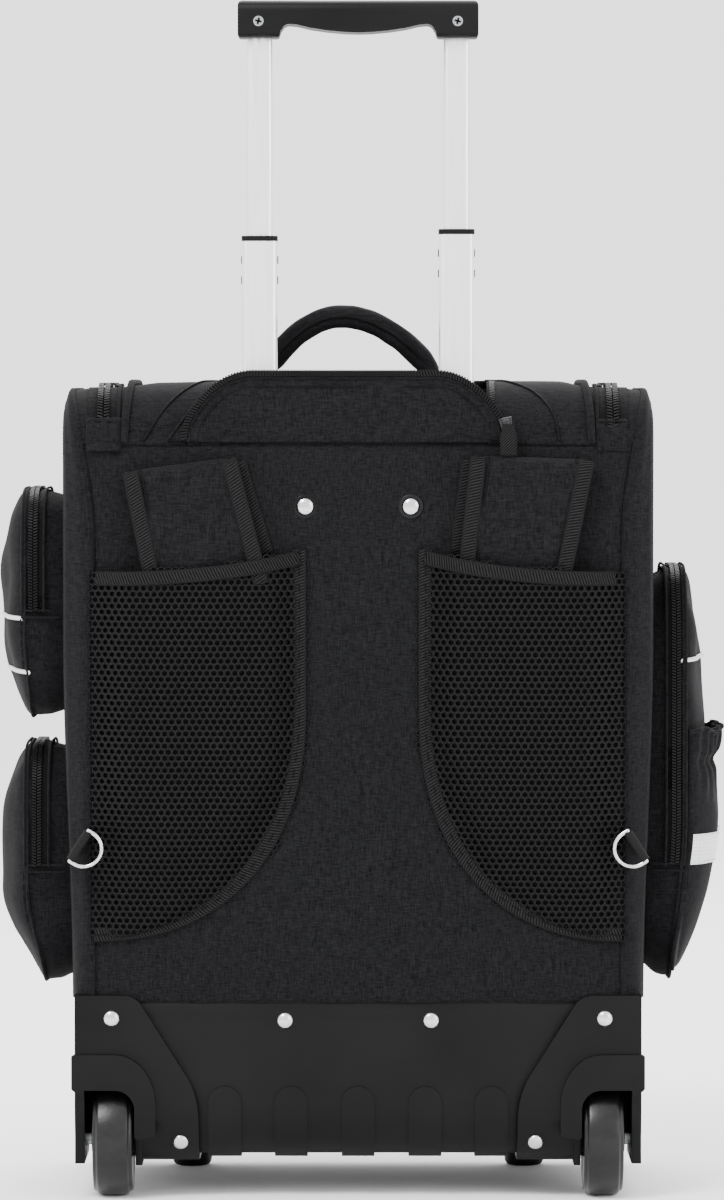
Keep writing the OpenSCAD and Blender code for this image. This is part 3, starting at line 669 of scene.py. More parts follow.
def over_top_zips():
    """The zips over the top, which part along the middle when the lid opens, with the piping beside them."""
    for word, side in SIDES.items():
        inner = 1 if side < 0 else -1
        rear = skin_line(side * ZIP_X, S_SEAM + 8, S_HINGE - 0.5, 1.4)
        ahead = skin_line(side * ZIP_X, S_HINGE + 0.5, S_LID_END - 4, 1.4)
        look = dict(width=19, pitch=2.1, tooth=(3.3, 1.25, 1.8), lift=-0.9)
        zip_run(f"zip_rear_{word}", rear, skin_normal, "bag", (-1, 1), **look)
        zip_run(f"zip_outer_{word}", ahead, skin_normal, "bag", (-inner,), **look)
        zip_run(f"zip_lid_{word}", ahead, skin_normal, "lid", (inner,), **look)
        spread = lambda s: side * (INNER_PIPE + 3 * (1 - ease(s, S_SEAM, S_TOP)))
        pipe_rear = skin_line(spread, S_SEAM, S_HINGE - 0.6, 2.0)
        pipe_lid = skin_line(side * INNER_PIPE, S_HINGE + 0.6, S_LID_END - 1, 2.0)
        cord_lines(f"piping_top_{word}", [pipe_rear], 2.2)
        cord_lines(f"piping_lid_{word}", [pipe_lid], 2.2, canvas, "lid")
        fold = [skin(side * (INNER_PIPE + 6.5), s, 1.0) for s in range(int(S_SEAM), int(S_HINGE), 4)]
        cord_lines(f"tape_fold_{word}", [fold], 1.1)


def garages():
    """The cloth tabs that cover the rear ends of the zips over the top."""
    for word, side in SIDES.items():
        def place(u, v):
            s = S_SEAM - 5 + v * 19
            x = side * (LID_HALF - 0.5 + (2 * u - 1) * 9.5)
            fold = 0.7 * math.cos((2 * u - 1) * 9) * v
            lift = 2.6 + crumple((x, s, 5), 7, 0.8) - 1.8 * ease(abs(2 * u - 1), 0.8, 1) + fold
            return skin(x, s, lift)

        cloth(f"zip_garage_{word}", 28, 16, place, size=(19, 19), thick=1.4)
        hem = [skin(side * (LID_HALF - 0.5 + dx), S_SEAM + 12, 4.1) for dx in range(-9, 10, 2)]
        cord_lines(f"garage_stitch_{word}", [hem], 0.35, stitching, "bag")


def top_seams():
    """Stitched seams that curve over the top from the rear seam."""
    # Each is x, and the distance along the skin from the rear seam.
    left = [(-126, 1), (-113, 22), (-100, 42), (-88, 62), (-80, 88)]
    right = [(118, 1), (115, 16), (104, 35), (86, 58), (76, 88)]
    lines = []
    for row in (left, right):
        flat = smoothed([(x, S_SEAM + s, 0) for x, s in row])
        lines.append([skin(p.x, p.y, top_puff(p.x, p.y) + 0.35) for p in flat])
    cord_lines("top_seams", lines, 0.8, stitching, "bag")


# ---- handle flap and well ----

FLAP_R = flap_high.z - flap_low.z


def flap_edge(inset=0.0):
    """The flap's outline from its left foot round to its right foot, taken in by inset."""
    y = flap_low.y + 1.6
    points = []
    for corner, first, last in ((flap_low.x + FLAP_R, math.pi, math.pi / 2),
                                (flap_high.x - FLAP_R, math.pi / 2, 0)):
        for k in range(19):
            a = first + (last - first) * k / 18
            # The outline leans in above its foot.
            lean = 1 - 0.035 * math.sin(2 * a) ** 2
            r = FLAP_R * lean - inset
            points.append(Vector((corner + r * math.cos(a), y, flap_low.z + r * math.sin(a))))
    return points


def flap():
    """The flap that closes over the pull handle, with half of its zip round its rim."""
    at, length = route(flap_edge(3.4))
    left, right = flap_low.x + 3.4, flap_high.x - 3.4

    def place(u, v):
        rim, _ = at(u * length)
        foot = Vector((left + u * (right - left), rim.y, flap_low.z - 0.4))
        point = foot.lerp(rim, v)
        wave = crumple((point.x, 0, point.z), 30, 2.2) * v * (1.2 - v) * 2
        dimple = 0.7 * math.exp(-((v - 0.1) / 0.05) ** 2) * crumple((point.x, 9, 0), 12, 3)
        return point + Y * (wave + dimple - 0.8 * math.sin(v * math.pi))

    piece = cloth("handle_flap_cloth", 110, 30, place, canvas, "flap", (230, 42), 2.4)
    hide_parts("handle_flap")
    rim, outer = route(flap_edge(4.2)), route(flap_edge(0.4))

    def tape_place(u, v):
        return rim[0](u * rim[1])[0].lerp(outer[0](u * outer[1])[0], v) + Y * (0.5 + 0.4 * v)

    bm = sheet_mesh(120, 3, tape_place, (230, 5))
    bmesh.ops.solidify(bm, geom=bm.faces, thickness=0.8)
    middle, length = route(flap_edge(1.7))
    teeth(bm, middle, 1, length - 1, lambda point: -Y, 1.75, (3.9, 1.15, 2.2), 0, 0.3)
    finish_piece("flap_zip", bm, [zip_cloth, coil], "flap", smooth=False)
    cord_lines("flap_edge_fold", [[p - Y * 0.4 for p in flap_edge(4.3)]], 1.1, canvas, "flap")
    cord_lines("flap_hem", [[p - Y * 0.5 for p in flap_edge(10)]], 0.4, stitching, "flap")


def flap_gore():
    """The folded triangle of cloth between the flap's left foot and the top."""
    (left, foot), (right, _), (tip, peak) = (-112, 446.5), (-97, 446.5), (-93, 471)

    def place(u, v):
        x = (left + (right - left) * u) * (1 - v) + tip * v
        z = foot * (1 - v) + peak * v
        s = S_SEAM + (z - SEAM) * 1.1
        return skin(x, s, 2.6 + 1.6 * math.sin(u * math.pi) * (1 - v))

    cloth("flap_gore", 12, 14, place, size=(15, 26), thick=1.2)
    fold = [skin(x, S_SEAM + (z - SEAM) * 1.1, 4.2) for x, z in
            ((-112, 446.5), (-107, 452), (-101, 459), (-96, 466), (-93, 471))]
    cord_lines("flap_gore_fold", [fold], 0.7)


WELL_FOOT = 420


def handle_well():
    """The lined well that the tubes come up through, and the zip half round its edge."""
    def rear_wall(u, v):
        x = NOTCH[0] + (1 - u) * (NOTCH[1] - NOTCH[0])
        return Vector((x, BACK + 1.5 + crumple((x, 0, v * 40), 20, 0.8), WELL_FOOT + v * (SEAM - WELL_FOOT)))

    rear = cloth("well_rear", 50, 8, rear_wall, lining, "bag", (157, 25.5), 1)
    for word, x in (("left", NOTCH[0]), ("right", NOTCH[1])):
        def side_wall(u, v):
            y = BACK + 2 + (u if word == "right" else 1 - u) * 40
            z = WELL_FOOT + v * (skin(x, S_SEAM + 1).z - WELL_FOOT + 30 * ease((y - BACK) / 40, 0, 0.8))
            return Vector((x + crumple((0, y, z), 14, 0.8), y, z))

        side = cloth(f"well_{word}", 12, 12, side_wall, lining, "bag", (44, 49.6), 1)
    rim = [skin(NOTCH[0], s, 0.5) for s in range(int(S_SEAM) + 2, int(S_TOP) + 4, 4)]
    across = [skin(x, S_TOP + 5.5, 0.5) for x in range(int(NOTCH[0]) + 6, int(NOTCH[1]) - 4, 6)]
    down = [skin(NOTCH[1], s, 0.5) for s in range(int(S_TOP) + 3, int(S_SEAM), -4)]
    zip_run("well_zip", smoothed(rim[::3] + across[::4] + down[::3], 6), skin_normal, "bag", (-1,), width=13,
            pitch=1.7, tooth=(3.2, 1.0, 1.9), lift=0.8)


LINER_TOP = 477                   # just under the fixed rear of the top


def liner():
    """The lining between the tubes and the inside of the bag."""
    low, high = node_box("handle_liner")

    def place(u, v):
        x = high.x - u * (high.x - low.x)
        z = low.z + v * (LINER_TOP - low.z)
        return Vector((x, high.y + crumple((x, 8, z), 45, 1.5), z))

    piece = cloth("handle_liner_cloth", 60, 60, place, lining, "bag", (304, 381), 1.5)
    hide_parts("handle_liner")


# ---- carry handle ----

carry_low, carry_high = node_box("carry_handle")
CARRY_THICK = 13.5
CARRY_PEAK = -10


def carry_line():
    """The middle of the arch, from root to root: half a parabola each side of its peak."""
    y = (carry_low.y + carry_high.y) / 2
    peak_z = carry_high.z - CARRY_THICK / 2
    foot = TOP - 2
    left, right = carry_low.x + CARRY_THICK * 0.6, carry_high.x - CARRY_THICK * 0.6
    points = []
    for k in range(61):
        x = left + (right - left) * k / 60
        t = (x - CARRY_PEAK) / ((left if x < CARRY_PEAK else right) - CARRY_PEAK)
        points.append(Vector((x, y, peak_z - (peak_z - foot) * t * t)))
    return points


def carry_handle():
    """The padded carry handle, thicker in its middle, with a welt along each side."""
    at, length = route(carry_line())

    def place(u, v):
        point, ahead = at(u * length)
        side_way = Y.cross(ahead).normalized()
        angle = 2 * math.pi * v
        end = min(u, 1 - u) * length
        wide = 9 - 1.5 * ease(end, 8, 30)
        thick = 3.0 + 3.8 * ease(end, 2, 20)
        across, up = superellipse(angle, wide, thick, 2.6)
        grain = 1 + crumple((point.x, across * 2, up * 2), 8, 0.06)
        return point + Y * across * grain - side_way * up * grain

    piece = cloth("carry_handle_pad", 110, 28, place, canvas, "carry", (190, 50), closed=True)
    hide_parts("carry_handle")
    welts = []
    for sign in (-1, 1):
        line = []
        for k in range(61):
            point, _ = at(length * (0.06 + 0.88 * k / 60))
            line.append(point + Y * sign * 7.6)
        welts.append(line)
    cord_lines("carry_handle_welts", welts, 1.3, binding_tape, "carry")


# ---- shoulder straps and mesh pockets ----

POCKET_FOOT = node_box("mesh_pocket_right")[0].z
CURVE_Z = 290
POCKET_POWER = 2.25
CELL = 4.1                        # across the flats of one cell of the mesh
MESH_TOP = 369.5                  # height of a mesh pocket's upper edge at the side
MESH_RISE = 13                    # and how much higher it is at the inner corner
BINDING = 8.5                     # width of the tape that binds a mesh pocket


class MeshPocket:
    """A mesh pocket's outline, and how far it stands off the panel over the strap in it."""

    def __init__(self, side, inner):
        self.side, self.inner, self.wide = side, inner, PANEL_HALF - inner

    def top(self, x):
        return MESH_TOP + MESH_RISE * (max(PANEL_HALF - x, 0) / self.wide) ** 2.4

    def foot(self, x):
        """Height of the curved lower edge at x."""
        t = min(max((PANEL_HALF - x) / self.wide, 0), 1)
        return CURVE_Z - (CURVE_Z - POCKET_FOOT) * (1 - t ** POCKET_POWER) ** (1 / POCKET_POWER)

    def edge(self, z):
        """How far in the pocket comes at height z."""
        t = min(max((CURVE_Z - z) / (CURVE_Z - POCKET_FOOT), 0), 1)
        return PANEL_HALF - self.wide * (1 - t ** POCKET_POWER) ** (1 / POCKET_POWER)

    def out(self, x, z):
        inner = ease(x - self.edge(z), 0, 26)
        outer = ease(PANEL_HALF - x, -3, 24)
        foot = ease(z - self.foot(x), 0, 60)
        slack = 1 - 0.35 * ease(z, 300, 390) * ease(abs(x - 96), 20, 60)
        wave = crumple((self.side * x, 0, z), 42, 2.2) + crumple((x * 1.4, self.side * 9, z * 0.5), 24, 1.0)
        return 3.2 + 13.2 * inner * outer * (0.35 + 0.65 * foot) * slack + wave * inner * outer

    def spot(self, x, z, lift=0.0):
        return Vector((self.side * x, BACK - self.out(x, z) - lift, z))

    def rim(self):
        """The sewn edge from the inner top corner down and round to the outer foot, inside its binding."""
        line = [(self.inner + 3.5, MESH_TOP + MESH_RISE + 0.5 - 5 * k) for k in range(19)]
        for k in range(41):
            a = k / 40 * math.pi / 2
            z = CURVE_Z - (CURVE_Z - POCKET_FOOT) * math.sin(a)
            line.append((self.edge(z) + 3.5 * math.cos(a), z + 3.5 * math.sin(a)))
        return line


def net(pocket):
    """The spacer mesh: hexagonal cells, each with a hole, draped over the strap."""
    rise = CELL * math.sqrt(3) / 2
    bm = bmesh.new()
    for row in range(int((392 - POCKET_FOOT) / rise) + 2):
        z = POCKET_FOOT - 2 + row * rise
        x = pocket.inner - 2 + (CELL / 2 if row % 2 else 0)
        while x < PANEL_HALF + 2:
            if x > pocket.edge(z) - 1 and POCKET_FOOT < z < pocket.top(x) + 1:
                bmesh.ops.create_circle(bm, cap_ends=True, segments=6, radius=CELL / math.sqrt(3),
                                        matrix=Matrix.Translation((x, z, 0)))
            x += CELL
    bmesh.ops.remove_doubles(bm, verts=bm.verts, dist=0.3)
    rims = set(bmesh.ops.inset_individual(bm, faces=bm.faces, thickness=0.78)["faces"])
    bmesh.ops.delete(bm, geom=[f for f in bm.faces if f not in rims], context="FACES_ONLY")
    for vert in bm.verts:
        vert.co = pocket.spot(vert.co.x, vert.co.y)
    return bm


def mesh_pocket(word, side, inner):
    """A mesh pocket: its net over a dark ground, bound along its upper and its curved edge."""
    pocket = MeshPocket(side, inner)
    piece = finish_piece(f"mesh_net_{word}", net(pocket), [mesh_yarn], "bag")
    modify(piece, "SOLIDIFY", thickness=1.1 * MM, offset=0)
    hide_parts(f"mesh_pocket_{word}")

    def ground(u, v):
        z = POCKET_FOOT + v * (pocket.top(PANEL_HALF) + 14 - POCKET_FOOT)
        edge = pocket.edge(z)
        x = edge + (u if side > 0 else 1 - u) * (PANEL_HALF - edge)
        return pocket.spot(x, min(z, pocket.top(x)), -1.7)

    backing = cloth(f"mesh_ground_{word}", 50, 80, ground, mesh_ground, "bag", (128, 247), 0.8)
    hem = [pocket.spot(x, pocket.top(x) - 3.6, 0.4) for x in range(inner + 3, int(PANEL_HALF) + 1, 4)]
    tape(f"mesh_top_binding_{word}", hem, -Y, BINDING, 1.8)
    rim = pocket.rim()
    line = [(side * x, BACK - 2.9, z) for x, z in rim]
    tape(f"mesh_edge_binding_{word}", line, -Y, BINDING, 2.0)
    thread = [[(side * x, BACK - 5.1, z) for x, z in rim[k:k + 2]] for k in range(0, len(rim) - 1, 2)]
    cord_lines(f"mesh_stitch_{word}", thread, 0.3, stitching, "bag")


STRAP_STRAIGHT = 75               # how far down from the fold the edges keep to their lean
STRAP_LONG = 168                  # from the fold down to its hidden end
STRAP_FOLD = 6.5                  # how far down the rounded fold reaches
# Each strap's left and right edges, as [x, z] at the fold and how far they lean for each millimetre down.
STRAPS = {
    "left": ((-137.7, 428.6, 0.2), (-71.5, 437.4, 0.262)),
    "right": ((66.2, 438.2, -0.1), (138.1, 435.6, -0.208)),
}


def strap(word, left, right):
    """A shoulder strap, folded over at the top and stowed down into its mesh pocket."""
    def spot(across, down, depth):
        """A point of the strap: from -1 to 1 across it, down from its fold, and out from the panel."""
        gone = min(down, STRAP_STRAIGHT) + max(down - STRAP_STRAIGHT, 0) * 0.2
        u = (across + 1) / 2
        x = left[0] + left[2] * gone + u * (right[0] + right[2] * gone - left[0] - left[2] * gone)
        return Vector((x, BACK - depth, left[1] + (right[1] - left[1]) * u - down))

    half = (right[0] - left[0]) / 2

    def place(u, v):
        across, high = superellipse(2 * math.pi * u, 1, 6.4, 5)
        down = STRAP_LONG * v ** 1.15
        near = min(down / STRAP_FOLD, 1)
        fold = max(math.sqrt(1 - (1 - near) ** 2), 0.03)
        crown = 1 + 0.2 * (1 - across ** 2)
        pinch = 0.9 * math.exp(-((abs(across) - 0.74) / 0.05) ** 2)
        depth = 7.4 + (high * crown - math.copysign(pinch, high)) * fold
        depth = (depth + crumple((across * half, down, half), 24, 1.5) * near) * (1 - 0.5 * ease(down, 50, 90))
        corner = 0.045 * (1 - fold)
        return spot(across * (1 - corner), down + 2.2 * abs(across) ** 12 * (1 - near), depth)

    piece = cloth(f"shoulder_strap_pad_{word}", 72, 80, place, canvas, "bag", (150, 170),
                  closed=True)
    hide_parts(f"shoulder_strap_{word}")
    falls = [0.4, 1.2, 2.4, 4, 6, 9] + list(range(14, 76, 6))

    def front(down):
        return 12.9 - 6.2 * (1 - math.sqrt(1 - (1 - min(down / STRAP_FOLD, 1)) ** 2))

    for name, sign in SIDES.items():
        line = [spot(sign * (1 - 4.3 / half), down, front(down)) for down in falls]
        tape(f"strap_{name}_binding_{word}", line, -Y, 9.5, 1.7)
        seam = [spot(sign * (1 - 10.6 / half), down, front(down) + 1.0) for down in falls]
        cord_lines(f"strap_{name}_seam_{word}", [seam], 0.3, stitching, "bag")
    inward = 1 if word == "left" else -1
    under = [spot(inward * (1 + (0.5 + down * 0.035) / half), down, 3.4) for down in range(3, 62, 7)]
    tape(f"strap_under_binding_{word}", under, -Y, 9, 1.6)


# ---- side, front and bottle pockets ----

SEWN, RIM, BROW = 0.12, 0.45, 0.5      # where the seam, the gusset's rim and the face begin, of 1
SEWN_SCALE = 0.94                 # a pocket's seam on the wall against its widest outline
RIM_RISE = 0.05                   # how far the rim stands out, of the pocket's depth
DOME_SPREAD = 0.75
DOME_RISE = 1.2


class Pouch:
    """A pocket's shape: an outline that stands off a wall, with a gusset and a domed face."""

    def __init__(self, wall, depth, low, high, power, gusset, taper=0.0):
        """low and high are corners of the outline, gusset is its share of the depth, taper thins its foot."""
        self.wall, self.depth = wall, depth
        self.centre = ((low[0] + high[0]) / 2, (low[1] + high[1]) / 2)
        self.half = ((high[0] - low[0]) / 2, (high[1] - low[1]) / 2)
        self.power, self.gusset, self.taper = power, gusset, taper

    def slim(self, b):
        """How much of its depth a pocket has at a height b: less towards its foot."""
        return 1 - self.taper * ease((self.centre[1] - b) / self.half[1], 0.2, 1)

    def ring(self, angle, scale, out):
        """A point at an angle round the outline, scaled about its middle, out from the wall."""
        a, b = superellipse(angle, self.half[0], self.half[1], self.power)
        b = self.centre[1] + b * scale
        return (self.centre[0] + a * scale, b, self.wall + out * self.slim(b))

    def dome(self, rise):
        return self.depth * (self.gusset + RIM_RISE + (1 - RIM_RISE - self.gusset) * rise ** DOME_RISE)

    def place(self, u, v):
        angle = 2 * math.pi * u
        if v < SEWN:
            scale, out = v / SEWN * SEWN_SCALE, -1.0
        elif v < RIM:
            t = (v - SEWN) / (RIM - SEWN)
            scale = SEWN_SCALE + (1 - SEWN_SCALE) * math.sin(t * math.pi / 2)
            out = self.depth * self.gusset * t
        elif v < BROW:
            t = (v - RIM) / (BROW - RIM)
            scale, out = 1 + 0.008 * math.sin(t * math.pi), self.depth * (self.gusset + RIM_RISE * t)
        else:
            turn = (v - BROW) * math.pi
            scale, out = math.cos(turn) ** DOME_SPREAD, self.dome(math.sin(turn))
        a, b, c = self.ring(angle, scale, out)
        fold = ease(v, SEWN, 0.3)
        c += crumple((a, b, c * 0.5), 32, 3.0) * fold
        swell = (crumple((a * 0.7, b * 1.2, self.wall), 18, 1.6) + crumple((a, b, c * 2), 9, 0.4)) * fold
        return a + swell * math.cos(angle), b + swell * math.sin(angle), c

    def face(self, a, b):
        """How far the domed face stands off at a place on it."""
        across = abs((a - self.centre[0]) / self.half[0]) ** self.power
        up = abs((b - self.centre[1]) / self.half[1]) ** self.power
        t = min((across + up) ** (1 / self.power), 1)
        out = self.dome(math.sin(math.acos(min(t ** (1 / DOME_SPREAD), 1))))
        return self.wall + out * self.slim(b) + crumple((a, b, (self.wall + out) * 0.5), 32, 3.0)


def side_pocket(name, side, node, zip_from, piping_z, taper):
    """A side pocket, its zip over the top of the gusset, and its reflective piping."""
    low, high = node_box(node)
    wall = body_half((low.z + high.z) / 2)
    pouch = Pouch(wall, max(abs(low.x), abs(high.x)) - wall - 0.5, low.yz, high.yz, 4.2, 0.56, taper)

    def put(a, b, c):
        return Vector((side * c, a, b))

    def place(u, v):
        return put(*pouch.place(u if side > 0 else 1 - u, v))

    piece = cloth(name, 140, 60, place, size=(460, 160), closed=True)
    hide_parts(node)

    def rear_angle(z):
        """The angle round the outline where its rear edge is at height z."""
        t = (z - pouch.centre[1]) / pouch.half[1]
        return math.pi - math.asin(math.copysign(min(abs(t), 1) ** (pouch.power / 2), t))

    def on_edge(angle, across, lift=0.0):
        return put(*pouch.ring(angle, 1.012 + lift / pouch.half[0], pouch.depth * across))

    first = rear_angle(zip_from)
    last = math.pi - first
    steps = 150
    ring = [on_edge(first + (last - first) * k / steps, 0.5) for k in range(steps + 1)]
    middle = put(pouch.centre[0], pouch.centre[1], pouch.wall + pouch.depth * 0.5)

    def facing(point):
        a, b = (point.y - middle.y) / pouch.half[0], (point.z - middle.z) / pouch.half[1]
        return Vector((0, math.copysign(abs(a) ** (pouch.power - 1), a) / pouch.half[0],
                       math.copysign(abs(b) ** (pouch.power - 1), b) / pouch.half[1]))

    zip_run(f"{name}_zip", ring, facing, "bag", (-1, 1), width=13, pitch=1.75, tooth=(2.5, 1.05, 1.8),
            lift=-0.4)
    folds = [[on_edge(first + (last - first) * k / steps, across, 0.7) for k in range(steps + 1)]
             for across in (0.34, 0.66)]
    cord_lines(f"{name}_zip_folds", folds, 0.8)
    cord_lines(f"{name}_piping", [[on_edge(2 * math.pi * k / 160, 0.62, 0.2) for k in range(161)]], 0.9)
    head, middle_bar, foot = ([on_edge(rear_angle(zip_from - drop), 0.12 + 0.56 * k / 8, 0.6) for k in range(9)]
                              for drop in (-1, 3, 14))
    cord_lines(f"{name}_stitch_box", [head, middle_bar], 0.6)
    thread = [foot[k:k + 2] for k in range(0, 8, 2)]
    thread += [[on_edge(rear_angle(zip_from - drop - 6 * k), 0.68, 0.8) for drop in (4, 8)] for k in range(5)]
    cord_lines(f"{name}_stitches", thread, 0.45, stitching, "bag")
    for index, z in enumerate(piping_z):
        bar = []
        for k in range(61):
            y = pouch.centre[0] + math.sin((k / 30 - 1) * 1.5) * pouch.half[0]
            bar.append(put(y, z + 1.5 * math.sin(k / 60 * math.pi), pouch.face(y, z) + 0.6))
        cord_lines(f"{name}_reflective_piping_{index + 1}", [bar], 1.35, reflective, "bag")
    return pouch


FOLD_AT = 0.36                    # the fold between the bottle pouch's lobes, of its width
BAND_Z = (195, 213)               # the reflective band's edges


def bottle_pouch(pouch):
    """The open pouch on the face of the tall side pocket, with its reflective band."""
    low, high = node_box("bottle_pouch")
    y0, y1 = low.y - 29.4, high.y + 14
    z0, z1 = low.z + 2, high.z

    def off(u, v):
        """How far the pouch stands off the pocket: two lobes, gathered under an elastic mouth."""
        inside = math.sin(math.pi * min(max(u, 0), 1))
        along = u / FOLD_AT if u < FOLD_AT else (u - FOLD_AT) / (1 - FOLD_AT)
        lobes = 0.45 + 0.55 * abs(math.sin(math.pi * along)) ** 0.5
        sag = 0.2 + 0.8 * math.sin(math.pi * min(v * 0.95, 1)) ** 0.6
        belly = (9 + 1.5 * ease(u, 0.3, 0.45)) * inside ** 0.22 * lobes * sag
        edge = inside ** 0.3
        gather = 1.6 * math.sin(u * math.pi * 24 + 2 * math.sin(u * 9)) * ease(v, 0.66, 0.93) * edge
        pinch = -3.0 * math.exp(-((v - 0.87) / 0.03) ** 2) * edge
        mouth = 3.6 * ease(v, 0.8, 1.0) * edge
        return 0.8 + belly + gather + pinch + mouth

    def surface(u, v, lift=0.0):
        y = y0 + u * (y1 - y0)
        z = z0 + v * (z1 - z0) + 1.5 * math.sin(u * math.pi * 9) * ease(v, 0.9, 1)
        uneven = crumple((y, z, 4), 22, 1.2) * math.sin(math.pi * u)
        return Vector((pouch.face(y, z) + off(u, v) + lift + uneven, y, z))

    piece = cloth("bottle_pouch_cloth", 140, 80, surface, size=(110, 150), thick=1.4)
    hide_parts("bottle_pouch")
    v0, v1 = ((z - z0) / (z1 - z0) for z in BAND_Z)
    cloth("bottle_pouch_reflective_band", 60, 8, lambda u, v: surface(0.01 + 0.98 * u, v0 + (v1 - v0) * v, 0.7),
          reflective, "bag", (110, 18), 0.6)
    edges = [[surface(0.01 + 0.98 * k / 60, v, 1.0) for k in range(61)] for v in (v0 + 0.008, v1 - 0.008)]
    cord_lines("bottle_pouch_band_edges", edges, 0.5, reflective, "bag")
    mouth = [surface(k / 140, 1.0, 0) for k in range(141)]
    cord_lines("bottle_pouch_elastic", [mouth], 1.5)


def front_pocket():
    """The large pocket on the front, with its piping and a zip across its face."""
    low, high = node_box("front_pocket")
    pouch = Pouch(FRONT, high.y - FRONT - 0.8, low.xz, high.xz, 5.5, 0.6)

    def put(a, b, c):
        return Vector((a, c, b))

    piece = cloth("front_pocket_cloth", 150, 60, lambda u, v: put(*pouch.place(1 - u, v)),
                  size=(1000, 200), closed=True)
    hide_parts("front_pocket")
    ring = [put(*pouch.ring(2 * math.pi * k / 160, 1.012, pouch.depth * 0.64)) for k in range(161)]
    cord_lines("front_pocket_piping", [ring], 1.8)
    slider_low, slider_high = node_box("front_pocket_slider")
    z = (slider_low.z + slider_high.z) / 2 + 9
    run = [Vector((x, pouch.face(x, z) + 0.9, z)) for x in range(100, -101, -4)]

    def facing(point):
        across = pouch.face(point.x + 2, point.z) - pouch.face(point.x - 2, point.z)
        up = pouch.face(point.x, point.z + 8) - pouch.face(point.x, point.z - 8)
        return Vector((-across / 4, 1, -up / 16)).normalized()

    zip_run("front_pocket_zip", run, facing, "bag", (-1, 1), width=18, pitch=1.9, tooth=(2.6, 1.1, 1.6),
            lift=0.5)


# ---- rings, sliders and carried-over parts ----

TAB_TAIL = 24                     # how far each web tab runs into the side seam
TAB_HALF = 9.6
RING_BAR = (163, -128, 210)       # middle of the right ring's bar
BAR_LEAN = (0.53, 0.848)          # how far in and up the bar points
BAR_LOOP = 2.6                    # radius of the web round it


def web_tabs():
    """The folded webs that hold the D-rings: a loop round each bar, and a tail to the side seam."""
    for word, side in SIDES.items():
        bar = Vector((side * RING_BAR[0], *RING_BAR[1:]))
        along = Vector((side * -BAR_LEAN[0], 0, BAR_LEAN[1]))
        bow = Vector((side * -BAR_LEAN[1], 0, -BAR_LEAN[0]))

        def place(u, v):
            if v < 0.5:
                a = math.pi * (v / 0.5)
                point = bar - Y * BAR_LOOP * math.sin(a) + bow * BAR_LOOP * math.cos(a)
            else:
                t = (v - 0.5) / 0.5
                point = bar - bow * (BAR_LOOP - 1.2 * math.sin(t * math.pi)) + Y * TAB_TAIL * t
            return point + along * (2 * u - 1) * TAB_HALF

        outward = place if side < 0 else lambda u, v: place(1 - u, v)
        cloth(f"ring_tab_{word}", 14, 30, outward, web, "bag", (19, 40), 1.1)
    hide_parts("ring_loops")


def block(bm, centre, size):
    matrix = Matrix.Translation(centre) @ Matrix.Diagonal((*size, 1))
    return bmesh.ops.create_cube(bm, size=1, matrix=matrix)["verts"]


def slider_mesh(tab_length):
    """A zip slider that faces -Y, with its bridge and a pull tab."""
    bm = bmesh.new()
    for y in (-1.0, -3.4):
        for vert in block(bm, (0, y, 0), (8, 1.2, 11)):
            if vert.co.z < 0:
                vert.co.x *= 0.62
    block(bm, (0, -2.2, 3), (1.6, 2.4, 3))
    for x in (-1.3, 1.3):
        block(bm, (x, -4.9, 1), (0.9, 2.0, 6.5))
    block(bm, (0, -5.6, 1), (3.5, 0.9, 6.5))
    if tab_length:
        block(bm, (0, -4.6, 1 - tab_length / 2), (5, 1.1, tab_length))
    bmesh.ops.bevel(bm, geom=list(bm.edges), offset=0.32, offset_type="OFFSET", segments=2, profile=0.5,
                    affect="EDGES", material=-1)
    return bm


SLIDER_BODIES = {
    "lid_slider_left": "lid_zip_left",
    "lid_slider_right": "lid_zip_right",
    "pocket_slider_upper_left": "upper_left_zip",
    "pocket_slider_lower_left": "lower_left_zip",
    "pocket_slider_right": "right_zip",
    "front_pocket_slider": "front_zip",
}


def sliders():
    """The enamelled sliders of the lid and of the pockets."""
    for node, body in SLIDER_BODIES.items():
        low, high = node_box(node)
        bm = slider_mesh(20)
        centre = Vector(((low.x + high.x) / 2, low.y, high.z - 6))
        turn = Matrix.Translation(centre) @ Matrix.Rotation(math.pi, 4, "Z")
        bmesh.ops.transform(bm, matrix=turn, verts=bm.verts)
        piece = finish_piece(f"{node}_metal", bm, [enamel], body, smooth=False)
        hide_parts(node)


def flap_slider():
    """The flap's slider, and the cloth pull on it."""
    low, high = node_box("flap_slider")
    centre = Vector(((low.x + high.x) / 2, high.y, (low.z + high.z) / 2))
    bm = slider_mesh(0)
    turn = Matrix.Translation(centre) @ Matrix.Rotation(math.radians(-12), 4, "Y")
    bmesh.ops.transform(bm, matrix=turn, verts=bm.verts)
    piece = finish_piece("flap_slider_metal", bm, [black_nickel], "flap_zip", smooth=False)
    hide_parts("flap_slider")
    low, high = node_box("flap_pull")
    mid = (low + high) / 2
    tip = low.z - 6

    def place(u, v):
        x = mid.x + (2 * u - 1) * (3.6 + 1.4 * ease(v, 0.1, 0.4))
        return Vector((x, mid.y - 0.6 + 0.5 * math.cos(v * 5), high.z - v * (high.z - tip)))

    pull = cloth("flap_pull_web", 6, 14, place, binding_tape, "flap_zip_pull", (10, 20), 1.6)
    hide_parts("flap_pull")


GENTLE = math.radians(33)         # edges that bend less than this are shaded smooth


